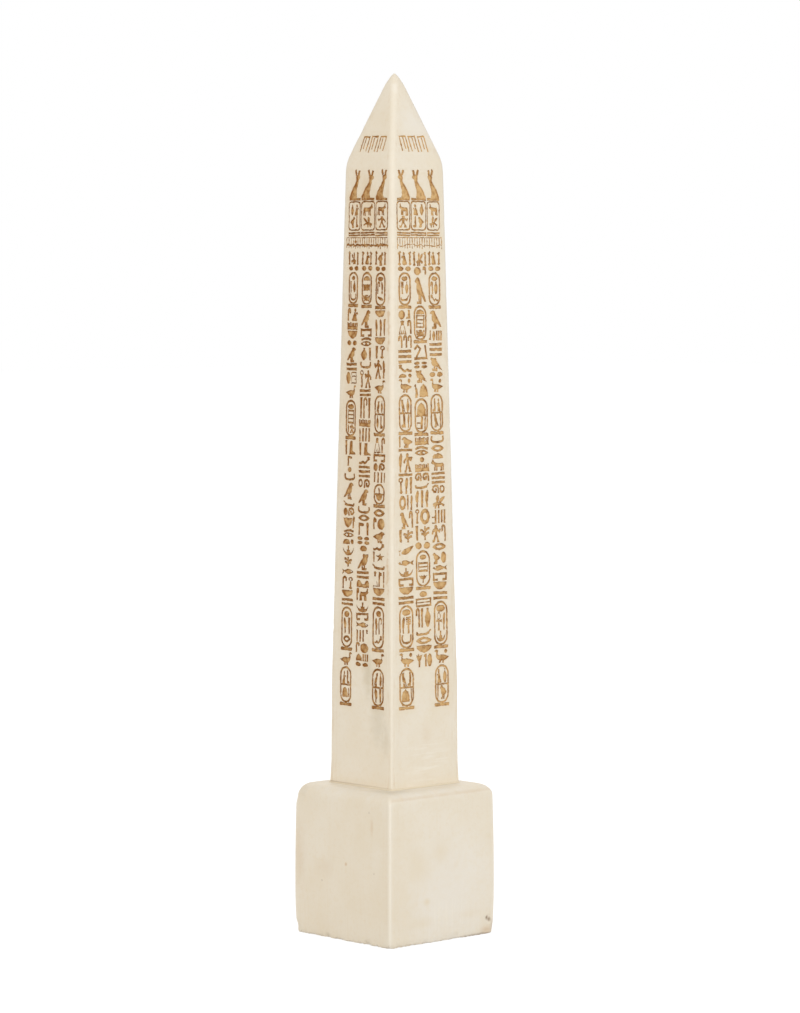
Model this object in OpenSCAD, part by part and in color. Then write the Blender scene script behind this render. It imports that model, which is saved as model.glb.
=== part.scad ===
// Desk model of an obelisk: a tapered square shaft with a pyramid tip, cast in plaster
// and set on a block pedestal with a thin bed of plaster between them.
// Lengths are in millimetres. +Z is up, the origin is the middle of the pedestal's
// underside, and the sides look along X and Y.

/* [Pedestal] */
// Height of the pedestal at the middle of its top
pedestal_h = 54.4; // [30:0.1:90]
// Side of the pedestal where it stands on the table
pedestal_foot_w = 50; // [40:0.1:80]
// Side of the pedestal at its widest, where the sides belly out
pedestal_belly_w = 51; // [40:0.1:80]
// Height of the widest place above the table
pedestal_belly_z = 18; // [8:0.5:30]
// Side of the pedestal just under its rounded top edge
pedestal_top_w = 50.2; // [40:0.1:80]
// Radius of the rounded top edge
pedestal_top_r = 3.8; // [1:0.1:8]
// Fall of the top from the bed out to the rounded edge
pedestal_top_fall = 0.2; // [0.05:0.05:2]
// Radius of the worn bottom edge
pedestal_base_r = 0.6; // [0.2:0.1:2]
// Radius of the upright arrises
pedestal_arris_r = 0.7; // [0.2:0.1:3]
// Radius of the corners of the top face, in plan
pedestal_top_corner_r = 1.9; // [0.5:0.1:6]

/* [Setting bed] */
// Thickness of the bed of plaster under the shaft
bed_t = 0.5; // [0.3:0.1:3]
// How far the bed's edge stands back from the shaft's foot
bed_set_back = 0.4; // [0.1:0.1:3]

/* [Shaft] */
// Side of the shaft at the very foot
shaft_foot_w = 33.1; // [24:0.1:38]
// Height of the short flare at the foot
foot_flare_h = 7.5; // [2:0.5:20]
// Side of the shaft at the top of that flare
flare_top_w = 32.5; // [24:0.1:38]
// Height of the almost upright length of the shaft, above its foot
plumb_h = 36; // [20:1:80]
// Side of the shaft at the top of the almost upright length
plumb_top_w = 32.35; // [24:0.1:38]
// Height of the shaft from its foot to the shoulder line
shaft_h = 221; // [150:1:320]
// Side of the shaft at the shoulder line
shoulder_w = 25.45; // [16:0.05:32]
// Radius that blends the shaft into the pyramid, in profile
shoulder_r = 22; // [5:1:40]
// Height of the pyramid from the shoulder line to its unworn point
pyramid_h = 36.2; // [20:0.1:60]
// Radius by which the pyramid's sides curve in below the point, in profile
point_curve_r = 12; // [4:0.5:30]
// Slope from the upright, in degrees, at which that curve meets the worn point
point_curve_a = 45; // [25:1:70]
// Radius of the worn point, in profile
point_r = 0.6; // [0.3:0.1:3]
// Radius of the shaft's arrises at the foot
foot_arris_r = 0.75; // [0.3:0.05:3]
// Radius of the shaft's arrises at the shoulder
shoulder_arris_r = 1.9; // [0.3:0.05:3]
// Radius of the pyramid's arrises just below the worn point
point_arris_r = 2.2; // [0.3:0.05:3]

/* [Smoothness] */
// Flats round each arris
corner_steps = 6; // [2:1:12]
// Flats along each rounded edge, in profile
edge_steps = 8; // [3:1:16]
// Bands up the bellied sides
belly_steps = 12; // [4:1:24]

/* [Hidden] */
foot_z = pedestal_h + bed_t;
shoulder_z = foot_z + shaft_h;
apex_z = shoulder_z + pyramid_h;
bed_w = shaft_foot_w - 2 * bed_set_back;
top_edge_z = pedestal_h - pedestal_top_fall - pedestal_top_r;
// Slopes from the upright, in degrees: the shaft's sides and the pyramid's sides
shaft_slope = atan((plumb_top_w - shoulder_w) / 2 / (shaft_h - plumb_h));
pyramid_slope = atan(shoulder_w / 2 / pyramid_h);
// Centre of the shoulder's blend arc, as [half side, height]
blend_run = shoulder_r * tan((pyramid_slope - shaft_slope) / 2);
blend_x = shoulder_w / 2 + blend_run * sin(shaft_slope) - shoulder_r * cos(shaft_slope);
blend_z = shoulder_z - blend_run * cos(shaft_slope) - shoulder_r * sin(shaft_slope);
// How far the curve's centre lies beyond the centre of the worn point's arc
curve_reach = point_curve_r - point_r;
// Centre height of the worn point's arc, and the angle at which its little flat starts
point_z = apex_z + curve_reach * sin(point_curve_a)
    - (point_curve_r - curve_reach * cos(point_curve_a) * cos(pyramid_slope)) / sin(pyramid_slope);
point_flat_a = 78;
// Length of casting that each foot is trimmed by, for a flat seat
trim_h = 1;

// Outline of a square of side w at height z, its corners rounded to radius r
function ring(w, r, z) = [
    for (corner = [0:3])
        for (i = [0:corner_steps])
            let (a = 90 * (corner + i / corner_steps), m = 45 + 90 * corner)
            [sign(cos(m)) * (w / 2 - r) + r * cos(a), sign(sin(m)) * (w / 2 - r) + r * sin(a), z]
];

// Solid skin over a stack of outlines, each given as [side, corner radius, height]
module loft(stack) {
    n = 4 * (corner_steps + 1);
    top = len(stack) - 1;
    polyhedron(
        points = [for (s = stack) each ring(s[0], s[1], s[2])],
        faces = [
            [for (i = [0:n - 1]) i],
            for (k = [0:top - 1])
                for (i = [0:n - 1])
                    let (j = (i + 1) % n)
                    [k * n + i, (k + 1) * n + i, (k + 1) * n + j, k * n + j],
            [for (i = [n - 1:-1:0]) top * n + i]
        ],
        convexity = 4
    );
}

// The same skin, trimmed flat at height z
module seated_loft(stack, z) {
    reach = max([for (s = stack) s[0]]);
    intersection() {
        loft(stack);
        translate([-reach, -reach, z])
            cube([2 * reach, 2 * reach, max([for (s = stack) s[2]]) - z + trim_h]);
    }
}

// Side of the pedestal at height z: two half parabolas that meet at the belly
function pedestal_side(z) =
    z < pedestal_belly_z
        ? pedestal_belly_w
            - (pedestal_belly_w - pedestal_foot_w) * pow(1 - z / pedestal_belly_z, 2)
        : pedestal_belly_w
            - (pedestal_belly_w - pedestal_top_w)
            * pow((z - pedestal_belly_z) / (top_edge_z - pedestal_belly_z), 2);

// Corner radius of the shaft at height z, from its foot to its shoulder
function shaft_arris(z) =
    foot_arris_r + (shoulder_arris_r - foot_arris_r) * (z - foot_z) / shaft_h;

// Corner radius near the point, where the side is w: never quite a full circle
function point_arris(w) = min(point_arris_r, 0.45 * w);

// Block with bellied sides, a worn bottom edge and a rounded top edge
module pedestal() {
    side_h = top_edge_z - pedestal_base_r;
    base_side = pedestal_side(pedestal_base_r);
    color([0.90, 0.86, 0.79])
        seated_loft([
            [base_side - 2 * pedestal_base_r, pedestal_arris_r, -trim_h],
            for (i = [0:edge_steps - 1])
                let (a = 90 * i / edge_steps)
                [
                    base_side - 2 * pedestal_base_r * (1 - sin(a)),
                    pedestal_arris_r,
                    pedestal_base_r * (1 - cos(a))
                ],
            for (i = [0:belly_steps - 1])
                let (z = pedestal_base_r + side_h * i / belly_steps)
                [pedestal_side(z), pedestal_arris_r, z],
            for (i = [0:edge_steps])
                let (a = 90 * i / edge_steps)
                [
                    pedestal_top_w - 2 * pedestal_top_r * (1 - cos(a)),
                    pedestal_arris_r + (pedestal_top_corner_r - pedestal_arris_r) * sin(a),
                    top_edge_z + pedestal_top_r * sin(a)
                ],
            [shaft_foot_w, pedestal_top_corner_r, pedestal_h]
        ], 0);
}

// Thin bed of plaster that holds the shaft, standing back from the shaft's foot
module setting_bed() {
    color([0.70, 0.58, 0.42])
        seated_loft([
            [bed_w, foot_arris_r, pedestal_h - trim_h],
            [bed_w, foot_arris_r, foot_z]
        ], pedestal_h);
}

// Tapered shaft with its pyramid tip, whose sides curve in to the worn point, in one casting
module shaft() {
    color([0.89, 0.85, 0.77])
        seated_loft([
            [shaft_foot_w, foot_arris_r, foot_z - trim_h],
            [shaft_foot_w, foot_arris_r, foot_z],
            [flare_top_w, shaft_arris(foot_z + foot_flare_h), foot_z + foot_flare_h],
            [plumb_top_w, shaft_arris(foot_z + plumb_h), foot_z + plumb_h],
            for (i = [0:edge_steps])
                let (a = shaft_slope + (pyramid_slope - shaft_slope) * i / edge_steps)
                [
                    2 * (blend_x + shoulder_r * cos(a)),
                    shoulder_arris_r,
                    blend_z + shoulder_r * sin(a)
                ],
            for (i = [0:edge_steps])
                let (
                    a = pyramid_slope + (point_curve_a - pyramid_slope) * i / edge_steps,
                    w = 2 * (point_curve_r * cos(a) - curve_reach * cos(point_curve_a))
                )
                [
                    w,
                    point_arris(w),
                    point_z + point_curve_r * sin(a) - curve_reach * sin(point_curve_a)
                ],
            for (i = [1:edge_steps])
                let (
                    a = point_curve_a + (point_flat_a - point_curve_a) * i / edge_steps,
                    w = 2 * point_r * cos(a)
                )
                [w, point_arris(w), point_z + point_r * sin(a)]
        ], foot_z);
}

pedestal();
setting_bed();
shaft();
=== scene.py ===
import math
import random

import bpy
import numpy as np
from bpy.props import FloatProperty, FloatVectorProperty, IntProperty, PointerProperty
from mathutils import Euler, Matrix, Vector, noise
from mathutils.geometry import delaunay_2d_cdt


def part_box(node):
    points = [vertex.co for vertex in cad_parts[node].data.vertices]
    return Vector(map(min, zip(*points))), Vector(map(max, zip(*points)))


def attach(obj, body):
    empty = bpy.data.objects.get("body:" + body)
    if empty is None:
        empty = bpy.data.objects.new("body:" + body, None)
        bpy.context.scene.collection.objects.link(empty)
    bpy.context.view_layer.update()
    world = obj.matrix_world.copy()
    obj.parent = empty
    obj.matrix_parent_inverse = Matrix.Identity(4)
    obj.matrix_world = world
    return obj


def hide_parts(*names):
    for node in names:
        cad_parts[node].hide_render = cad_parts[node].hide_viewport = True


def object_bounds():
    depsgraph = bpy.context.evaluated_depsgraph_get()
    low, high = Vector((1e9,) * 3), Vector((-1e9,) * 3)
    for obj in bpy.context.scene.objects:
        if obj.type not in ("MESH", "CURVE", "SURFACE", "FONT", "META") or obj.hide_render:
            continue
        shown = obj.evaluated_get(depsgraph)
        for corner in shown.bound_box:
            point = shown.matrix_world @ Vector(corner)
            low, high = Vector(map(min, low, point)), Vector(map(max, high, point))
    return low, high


bl_info = {
    "name": "Model obelisk",
    "version": (1, 0, 0),
    "blender": (4, 5, 0),
    "location": "View3D > Sidebar > Obelisk",
    "description": "Dresses the frame of a small cast plaster obelisk: carved shaft, bed, pedestal and stage",
    "category": "Object",
}

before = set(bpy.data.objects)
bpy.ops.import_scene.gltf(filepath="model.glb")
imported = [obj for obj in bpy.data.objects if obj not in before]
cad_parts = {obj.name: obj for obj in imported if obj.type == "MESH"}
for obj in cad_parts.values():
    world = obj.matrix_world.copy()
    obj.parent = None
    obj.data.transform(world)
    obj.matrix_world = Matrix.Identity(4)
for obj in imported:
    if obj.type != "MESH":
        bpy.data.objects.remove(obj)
CAD_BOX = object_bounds()
SHAFT_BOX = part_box("shaft")
BED_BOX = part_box("setting_bed")
PEDESTAL_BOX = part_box("pedestal")

# Shapes are worked out in millimetres and stored in metres.
MM = 0.001


def srgb(text):
    """Linear RGBA of an sRGB colour written as #rrggbb."""
    parts = [int(text[i:i + 2], 16) / 255 for i in (1, 3, 5)]
    return [c / 12.92 if c <= 0.04045 else ((c + 0.055) / 1.055) ** 2.4 for c in parts] + [1.0]


def length(name, default_mm, description):
    """A size that a user may change, shown in scene units."""
    return FloatProperty(name=name, description=description, default=default_mm * MM,
                         min=0.0, unit="LENGTH", subtype="DISTANCE", precision=5)


def colour(name, default, description):
    """A colour that a user may change, written as sRGB hex."""
    return FloatVectorProperty(name=name, description=description, default=srgb(default),
                               size=4, min=0.0, max=1.0, subtype="COLOR")


def angle(name, default_degrees, description):
    """An angle that a user may change."""
    return FloatProperty(name=name, description=description, default=math.radians(default_degrees),
                         unit="ROTATION", subtype="ANGLE")


def in_mm(sizes):
    """The lengths of a property group by name, in millimetres."""
    return {name: getattr(sizes, name) / MM for name in sizes.__annotations__}


class ShaftSizes(bpy.types.PropertyGroup):
    """Sizes of the shaft and of the signs cut into it."""
    flare_h: length("Flare height", 7.5, "Height of the short flare at the shaft's foot")
    flare_top_w: length("Flare top side", 32.5, "Side of the shaft at the top of the flare")
    plumb_h: length("Plumb height", 36, "Height of the almost upright length above the foot")
    plumb_top_w: length("Plumb top side", 32.35, "Side of the shaft at the top of the upright length")
    shaft_h: length("Shaft height", 221, "Height from the foot to the shoulder line")
    shoulder_w: length("Shoulder side", 25.45, "Side of the shaft at the shoulder line")
    shoulder_r: length("Shoulder radius", 22, "Radius that blends the shaft into the pyramid")
    pyramid_h: length("Pyramid height", 36.2, "Height from the shoulder line to the unworn point")
    point_curve_r: length("Point curve", 12, "Radius by which the pyramid's sides curve in below the point")
    point_curve_a: angle("Point slope", 45, "Slope from the upright at which that curve meets the worn point")
    point_r: length("Point radius", 0.6, "Radius of the worn point")
    foot_arris_r: length("Foot arris", 0.75, "Radius of the arrises at the foot")
    shoulder_arris_r: length("Shoulder arris", 1.9, "Radius of the arrises at the shoulder")
    point_arris_r: length("Point arris", 2.2, "Radius of the arrises under the point")
    cut_depth: length("Cut depth", 0.55, "Depth of the signs")
    cut_slope: length("Cut slope", 0.24, "How far a sign's wall leans in from its edge to its floor")
    undulation: length("Undulation", 0.05, "How far the hand-rubbed faces wave in and out")
    seed: IntProperty(name="Hand", description="Seed of the small differences between like signs", default=7)


class PedestalSizes(bpy.types.PropertyGroup):
    """Sizes of the pedestal and of the bed on it."""
    foot_w: length("Foot side", 50, "Side where the pedestal stands on the table")
    belly_w: length("Belly side", 51, "Side at the widest place")
    belly_z: length("Belly height", 18, "Height of the widest place")
    top_w: length("Top side", 50.2, "Side just under the rounded top edge")
    top_r: length("Top edge radius", 3.8, "Radius of the rounded top edge")
    top_fall: length("Top fall", 0.2, "Fall of the top from the bed to the rounded edge")
    base_r: length("Base edge radius", 0.6, "Radius of the worn bottom edge")
    arris_r: length("Arris radius", 0.7, "Radius of the upright arrises")
    top_corner_r: length("Top corner radius", 1.9, "Radius of the top face's corners in plan")
    chip: length("Chips", 0.45, "How deep the bottom edge is chipped")
    undulation: length("Undulation", 0.07, "How far the faces wave in and out")


class ObeliskColours(bpy.types.PropertyGroup):
    """Colours of the plaster, the paint and the dirt."""
    plaster: colour("Plaster", "#efe5d4", "Ivory-tinted plaster, as cast")
    plaster_warm: colour("Warm plaster", "#e9dac0", "Plaster where the tint soaked in more")
    # Also laid along the arrises as a painted highlight, over their real rubbing
    rubbed_plaster_and_highlight: colour("Rubbed plaster", "#f5eddf", "Plaster rubbed pale along the arrises")
    stain: colour("Stain", "#c89a5c", "Rust-orange streaks of old wash")
    # This grey is also laid as painted shade on the pedestal's top at the shaft's front corner
    smudge_and_shade: colour("Smudge", "#c3b69b", "Grey finger smudge on the shaft")
    paint: colour("Sign paint", "#d8b27a", "Gold-brown paint in the signs")
    # Along the sign walls this darker paint also stands for painted shade
    paint_dark: colour("Dark sign paint", "#9b6628", "The same paint where it lies thick along the walls")
    bed: colour("Bed", "#e9ddc6", "Setting plaster squeezed out under the shaft")
    dust: colour("Dust", "#f1ece5", "Cool pale dust that sanding left on the pedestal")
    dirt: colour("Dirt", "#7d5a37", "Brown dirt in the joint and on the chipped base")


class StageSettings(bpy.types.PropertyGroup):
    """The floor, the light and the camera."""
    floor: colour("Floor", "#e8e8e8", "Pale paper under the object")
    tent: colour("Tent", "#fffdf8", "Soft light from all round")
    tent_strength: FloatProperty(name="Tent strength", default=0.62,
                                 description="Level of the light from all round")
    front_level: FloatProperty(name="Front level", default=0.33,
                               description="Level of the soft box near the camera")
    floor_reach: length("Floor reach", 6000, "Distance from the middle of the floor to its edges")
    camera_azimuth: angle("Camera azimuth", -42.465, "Turn of the camera round the object")
    camera_distance: length("Camera distance", 1355.6, "Level distance from the object's axis to the camera")
    camera_height: length("Camera height", 238.8, "Height of the camera above the table")
    camera_pitch: angle("Camera pitch", 3.599, "How far the camera looks down")
    camera_turn: angle("Camera turn", 0.084, "How far the camera looks to the right of the axis")
    camera_lens: FloatProperty(name="Lens", description="Focal length on a 36 mm sensor along the tall side",
                               default=135.07, unit="CAMERA")


# Signs are drawn facing left in a box of the stated width and height. A drawing is a list of shapes:
#   b x,y ...        closed smooth outline          p x,y ...        closed straight-edged outline
#   s width x,y ...  smooth stroke                  l width x,y ...  straight stroke
#   e x,y rx,ry      oval
# A shape marked with - is left standing inside the ones before it.
FALCON = ("b .9,8.3 1.5,9.2 2.7,9.9 3.9,9.3 4.4,7.9 5.6,5.8 6.9,3.2 8,.9 6.9,1 5.5,2.6 4.5,2.5 3.2,2.9"
          " 2.2,4.6 1.9,6.6 2.2,7.6 1.5,7.8; l .7 3.7,3 3.5,.35 2.2,.35; l .7 4.7,2.8 4.6,.35 3.4,.35")
DUCK = ("b 0,7.5 .7,8.4 1.8,8.5 2.6,7.7 2.5,6.6 2.3,5.6 3.1,4.9 5,5.2 7.2,4.8 10,3.7 8.8,2.7 7,1.8 5,1.4"
        " 3.2,1.7 1.9,2.8 1.2,4.4 1.4,6 1.6,6.8 1,7.2; l .6 4.2,2 3.7,.1; l .6 6.1,2 5.8,.1")
LENS = "b 0,1.7 2.4,3 5,3.4 7.6,3 10,1.7 7.6,.4 5,0 2.4,.4"
SIGNS = {
    "falcon": (8, 10, FALCON),
    "crowned_bird": (8.6, 15, "b .7,11.1 1.2,12 2.4,12.5 3.6,12.1 4,11.1 3.8,9.9 4.2,8.7 5.3,7.2 6.8,5.2"
            " 7.9,2.9 8.5,.9 3,.9 3.3,2.8 3.1,5 2.6,7 2.1,8.6 2,9.8 1.4,10.4; l 1.3 1.3,14.6 2.1,12"
            "; l 1.3 4.3,14.9 3.4,12; p .1,0 8.5,0 8.5,1.2 .1,1.2"),
    "duck": (10, 8.6, DUCK),
    "duck_disc": (10, 8.6, DUCK + "; e 7.8,7.3 1.1,1.3"),
    "owl": (7.5, 10, "b .7,9.7 1.7,9.3 2.9,9.3 3.8,9.8 4.2,8.6 3.9,7.4 5.4,5.4 6.5,2.6 7.5,.4 6,.9"
            " 4.8,2.4 3,2.5 1.7,3.8 1,5.8 1.1,7.2 .5,8.4; l .7 3,2.7 2.8,.35 1.5,.35"
            "; l .7 4.3,2.5 4.2,.35 3,.35"),
    "chick": (6, 6, "b 0,4.6 .9,5.6 2,5.7 2.8,4.8 4.2,4.2 6,2.8 4.8,2 3.4,1.3 1.8,1.6 1,2.9 1,4.1"
            "; l .6 2.4,1.6 2.2,.3 1.2,.3; l .6 3.5,1.6 3.3,.3 2.6,.3"),
    "reed": (3, 10, "b .9,2.4 .3,5 .6,8 1.8,10 2.6,8.4 2.3,5 1.9,2.4; l .6 1.4,0 1.4,3"),
    "disc": (4, 4, "e 2,2 2,2"),
    "basket": (10, 4, "p 0,4 10,4 9.6,2.6 8.4,1.2 6.6,.3 5,0 3.4,.3 1.6,1.2 .4,2.6"),
    "lens": (10, 3.4, LENS + "; -b 2.8,1.7 3.8,2.15 5,2.3 6.2,2.15 7.2,1.7 6.2,1.25 5,1.1 3.8,1.25"),
    "eye": (10, 5.6, LENS + "; -e 3.3,1.7 .8,.45; -e 6.7,1.7 .8,.45; s 1 .5,4 3,5 6,5 9.5,4"),
    "loaf": (4, 2.6, "p 0,0 4,0 3.9,1.1 3.3,2 2,2.6 .7,2 .1,1.1"),
    "hook": (3, 10, "s .8 .5,6.2 .5,8.8 1.4,9.7 2.4,8.8 2.5,6 2.5,.2"),
    "staff": (3, 10, "l .7 1.8,0 1.8,8.8; l .8 .2,8.2 1.8,9.2 2.8,9.8; l .6 1.8,1.2 .9,0"
            "; l .6 1.8,1.2 2.7,0"),
    "cross": (5, 10, "e 2.5,7.8 1.6,2.2; -e 2.5,7.8 .8,1.3; p 0,6 0,4.5 2.5,4.9 5,4.5 5,6 2.5,5.6"
            "; p 2,5.3 3,5.3 3.4,0 1.6,0"),
    "court": (10, 4.4, "l .9 3.4,.5 .5,.5 .5,3.9 9.5,3.9 9.5,.5 6.8,.5"),
    "mat": (4, 5, "p 0,0 4,0 4,5 0,5; -p .7,.7 3.3,.7 3.3,1.5 .7,1.5; -p .7,2.1 3.3,2.1 3.3,2.9 .7,2.9"
            "; -p .7,3.5 3.3,3.5 3.3,4.3 .7,4.3"),
    "chest": (10, 4, "p 0,0 10,0 10,4 0,4; -p 1,1 9,1 9,1.7 1,1.7; -p 1,2.4 9,2.4 9,3.1 1,3.1"),
    "arm": (10, 3.6, "s .9 .2,.8 3,.7 6.6,.9 7.8,1.6; b 7.2,1 8.4,2.4 9.8,3.4 10,2.8 9,1.9 8.6,.8 7.6,.5"
            "; l .9 .5,.8 .5,2"),
    "leg": (5, 8, "p 2,8 3.8,8 4.2,1.6 4.2,.2 0,.2 0,1.2 2,2.2"),
    "viper": (10, 4, "s 1 10,.6 8,.6 6.6,1.4 5,.6 3.4,1.2 2.4,2.2 1.4,2.6"
            "; b 2.4,2 1.6,3.2 .2,2.9 .1,2.3 1.2,1.9; l .45 1.1,2.9 .7,4; l .45 1.8,2.9 1.9,4"),
    "beetle": (7, 9, "b 3.5,0 1.6,.7 .9,2.6 1.3,4.6 2.2,5.6 4.8,5.6 5.7,4.6 6.1,2.6 5.4,.7"
            "; b 2.2,5.3 2,6.8 2.8,7.6 4.2,7.6 5,6.8 4.8,5.3; s .5 1.8,4.6 .3,5.6 .5,7.4"
            "; s .5 5.2,4.6 6.7,5.6 6.5,7.4; l .5 1.4,2.8 0,2.6; l .5 5.6,2.8 7,2.6; l .5 2,1.2 .4,0"
            "; l .5 5,1.2 6.6,0"),
    "sitter": (6, 9, "e 2.3,7.8 1.1,1.2; b 2.2,7 3.6,6.2 4.4,3.8 5.6,1.1 5.4,.1 1,.1 .5,1 1.2,3.4 .9,4.4"
            " 1.5,5.6; s .6 1.6,5.2 .1,5.8"),
    "walker": (6, 10, "e 2.7,9 1,1; b 1.6,8 3.9,8 3.4,5.2 4,3.4 1.5,3.4 2,5.2; l .9 2.2,3.8 1.2,.4 .2,.4"
            "; l .9 3.2,3.8 4.4,.4 3.4,.4; s .7 1.9,7.4 .5,6 .2,4.6; s .7 3.6,7.4 5,6.2 5.7,7.8"),
    "sedge": (6, 9, "l .7 3,0 3,8.8; s .7 3,4 1.6,6 .2,6.2; s .7 3,5 4.4,7 5.8,7.2"
            "; s .7 3,2.2 1.8,3.8 .8,3.9; s .7 3,2.4 4.2,4.2 5.4,4.4"),
    "jar": (5, 9, "b 1.8,9 1.9,7.6 .8,6 .3,4 .9,1.8 2,.1 3,.1 4.1,1.8 4.7,4 4.2,6 3.1,7.6 3.2,9"),
    "strokes": (6, 4, "l .9 .8,0 .8,4; l .9 3,0 3,4; l .9 5.2,0 5.2,4"),
    "comb": (10, 3.6, "p 0,0 10,0 10,1.8 0,1.8; l .7 .6,1.5 .6,3.6; l .7 2.1,1.5 2.1,3.3"
            "; l .7 3.6,1.5 3.6,3.6; l .7 5.1,1.5 5.1,3.3; l .7 6.6,1.5 6.6,3.6; l .7 8.1,1.5 8.1,3.3"
            "; l .7 9.4,1.5 9.4,3.6"),
    "rake": (10, 11.5, "l 1 .3,10.6 9.4,10.9; l 1 .8,10.6 1.6,1; l .9 5.4,10.6 6,2.6"
            "; l 1 8.8,10.8 9.4,.6"),
    "star": (6, 6, "p 3,6 3.65,3.9 5.85,3.93 4.05,2.66 4.76,.57 3,1.9 1.24,.57 1.95,2.66 .15,3.93"
            " 2.35,3.9"),
    "hills": (10, 4, "p 0,0 0,2.8 .8,3.8 2,4 3,3.4 3.8,2 5,1.5 6.2,2 7,3.4 8,4 9.2,3.8 10,2.8 10,0"),
    "horns": (8, 4, "s 1 .6,3.8 .4,2 1.4,.8 4,.5 6.6,.8 7.6,2 7.4,3.8"),
    "coil": (5, 5, "s .7 4.6,0 4.6,2.6 4,4.2 2.4,4.6 1,3.8 .6,2.2 1.4,1 2.8,1 3.3,2.2 2.5,2.8"),
    "pillar": (4.4, 10, "p 1.4,0 3,0 2.8,5.4 1.6,5.4; p .3,5.2 4.1,5.2 4.1,6 .3,6"
            "; p .3,6.5 4.1,6.5 4.1,7.3 .3,7.3; p .3,7.8 4.1,7.8 4.1,8.6 .3,8.6"
            "; p .3,9.1 4.1,9.1 4.1,9.9 .3,9.9; l 1 2.2,5 2.2,9.6"),
    "banner": (4, 10, "l .7 3.4,0 3.4,10; p 3.3,9.8 .2,9.2 .2,7.6 3.3,7.2"),
    "bar": (10, 1.2, "p 0,0 10,.1 10,1.1 0,1.2"),
    "bars": (10, 3.2, "p 0,0 10,.1 10,1.1 0,1.1; p 0,2.1 10,2 10,3.1 0,3.2"),
    "rails": (10, 5.4, "p 0,0 10,.1 10,1.1 0,1.1; p 0,2.2 10,2.1 10,3.2 0,3.3"
            "; p 0,4.3 10,4.3 10,5.4 0,5.3"),
    "lotus": (7, 8, "l .7 3.5,0 3.5,4.2; b 3.5,3.2 1.6,4.6 .2,7.6 1.8,6.6 2.6,8 3.5,6.6 4.4,8 5.2,6.6"
            " 6.8,7.6 5.4,4.6"),
    "bee": (8, 7, "s 1.5 .9,1.5 3,2.4 5.6,2.6; b 3.2,2.4 2.4,5 3.6,6.8 4.5,5"
            "; b 4,2.4 5.4,5.2 7.6,6 6.4,3.8; l .5 2.6,2 2,0; l .5 4,2.2 4.1,.2; l .5 5.4,2.4 7.4,1.4"),
    "boat": (10, 5, "b 0,3.8 1.4,2 4,1.2 6,1.2 8.6,2 10,3.8 8.6,.9 6,0 4,0 1.4,.9; l .7 5,.8 5,4.9"
            "; p 3.4,1 6.6,1 6.6,2.9 3.4,2.9"),
    "knife": (10, 3, "b 0,.7 3,.2 6.4,.6 10,2.8 6,2.5 2.6,1.9"),
    "tassel": (5, 8, "p 1.9,8 3.1,8 3.5,5.6 4.9,0 .1,0 1.5,5.6; -l .35 1.3,.7 2,5; -l .35 2.5,.7 2.5,5"
            "; -l .35 3.7,.7 3,5; e 2.5,7.3 1.2,.7"),
    "tent": (10, 8, "l 1.2 .6,5.6 2.8,7.4 4.8,5.8 1.6,.8; l 1.2 .4,.7 9.6,.7 8.4,7.6"),
    "grain": (2.4, 3.4, "e 1.2,1.7 1.2,1.7"),
    "bead": (3, 4, "e 1.5,2 1.5,2; -e 1.5,2 .6,1"),
    "dots": (6, 2.2, "e 1.3,1.1 1.3,1.1; e 4.7,1.1 1.3,1.1"),
    "seeds": (8, 4.4, "e 1.8,1 1.7,.9; e 6.2,1 1.7,.9; e 1.8,3.4 1.7,.9; e 6.2,3.4 1.7,.9"),
    "ladle": (3, 9, "e 1.5,7.5 1.5,1.5; -e 1.5,7.5 .5,.5; l .8 1.5,6.2 1.5,1; e 1.5,.9 1,.9"),
    "post": (2, 9, "p .5,0 1.5,0 1.8,9 .2,9"),
    "fish": (10, 5, "b 0,2.4 2,3.9 5,4.3 8,3 10,4.4 9.6,2.5 10,.6 8,2 5,.7 2,1.1; -e 1.7,2.8 .4,.4"),
    "calf": (10, 7, "b .1,5 .8,6.2 2,6.4 3,5.2 6,5 8.8,5.1 9.7,3.8 9.4,2.8 6,2.6 3,2.6 2.2,4 1,4.4"
            "; l .9 3,3 2.8,.1; l .9 4.2,3 4.2,.1; l .9 8,3 7.8,.1; l .9 9.1,3.2 9.3,.1"
            "; l .5 1.4,6 1,7.2"),
    "throne": (7, 8, "p 0,0 7,0 7,8 4.6,8 4.6,4 0,4; -p .9,.9 4,.9 4,3.1 .9,3.1"),
}

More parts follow.
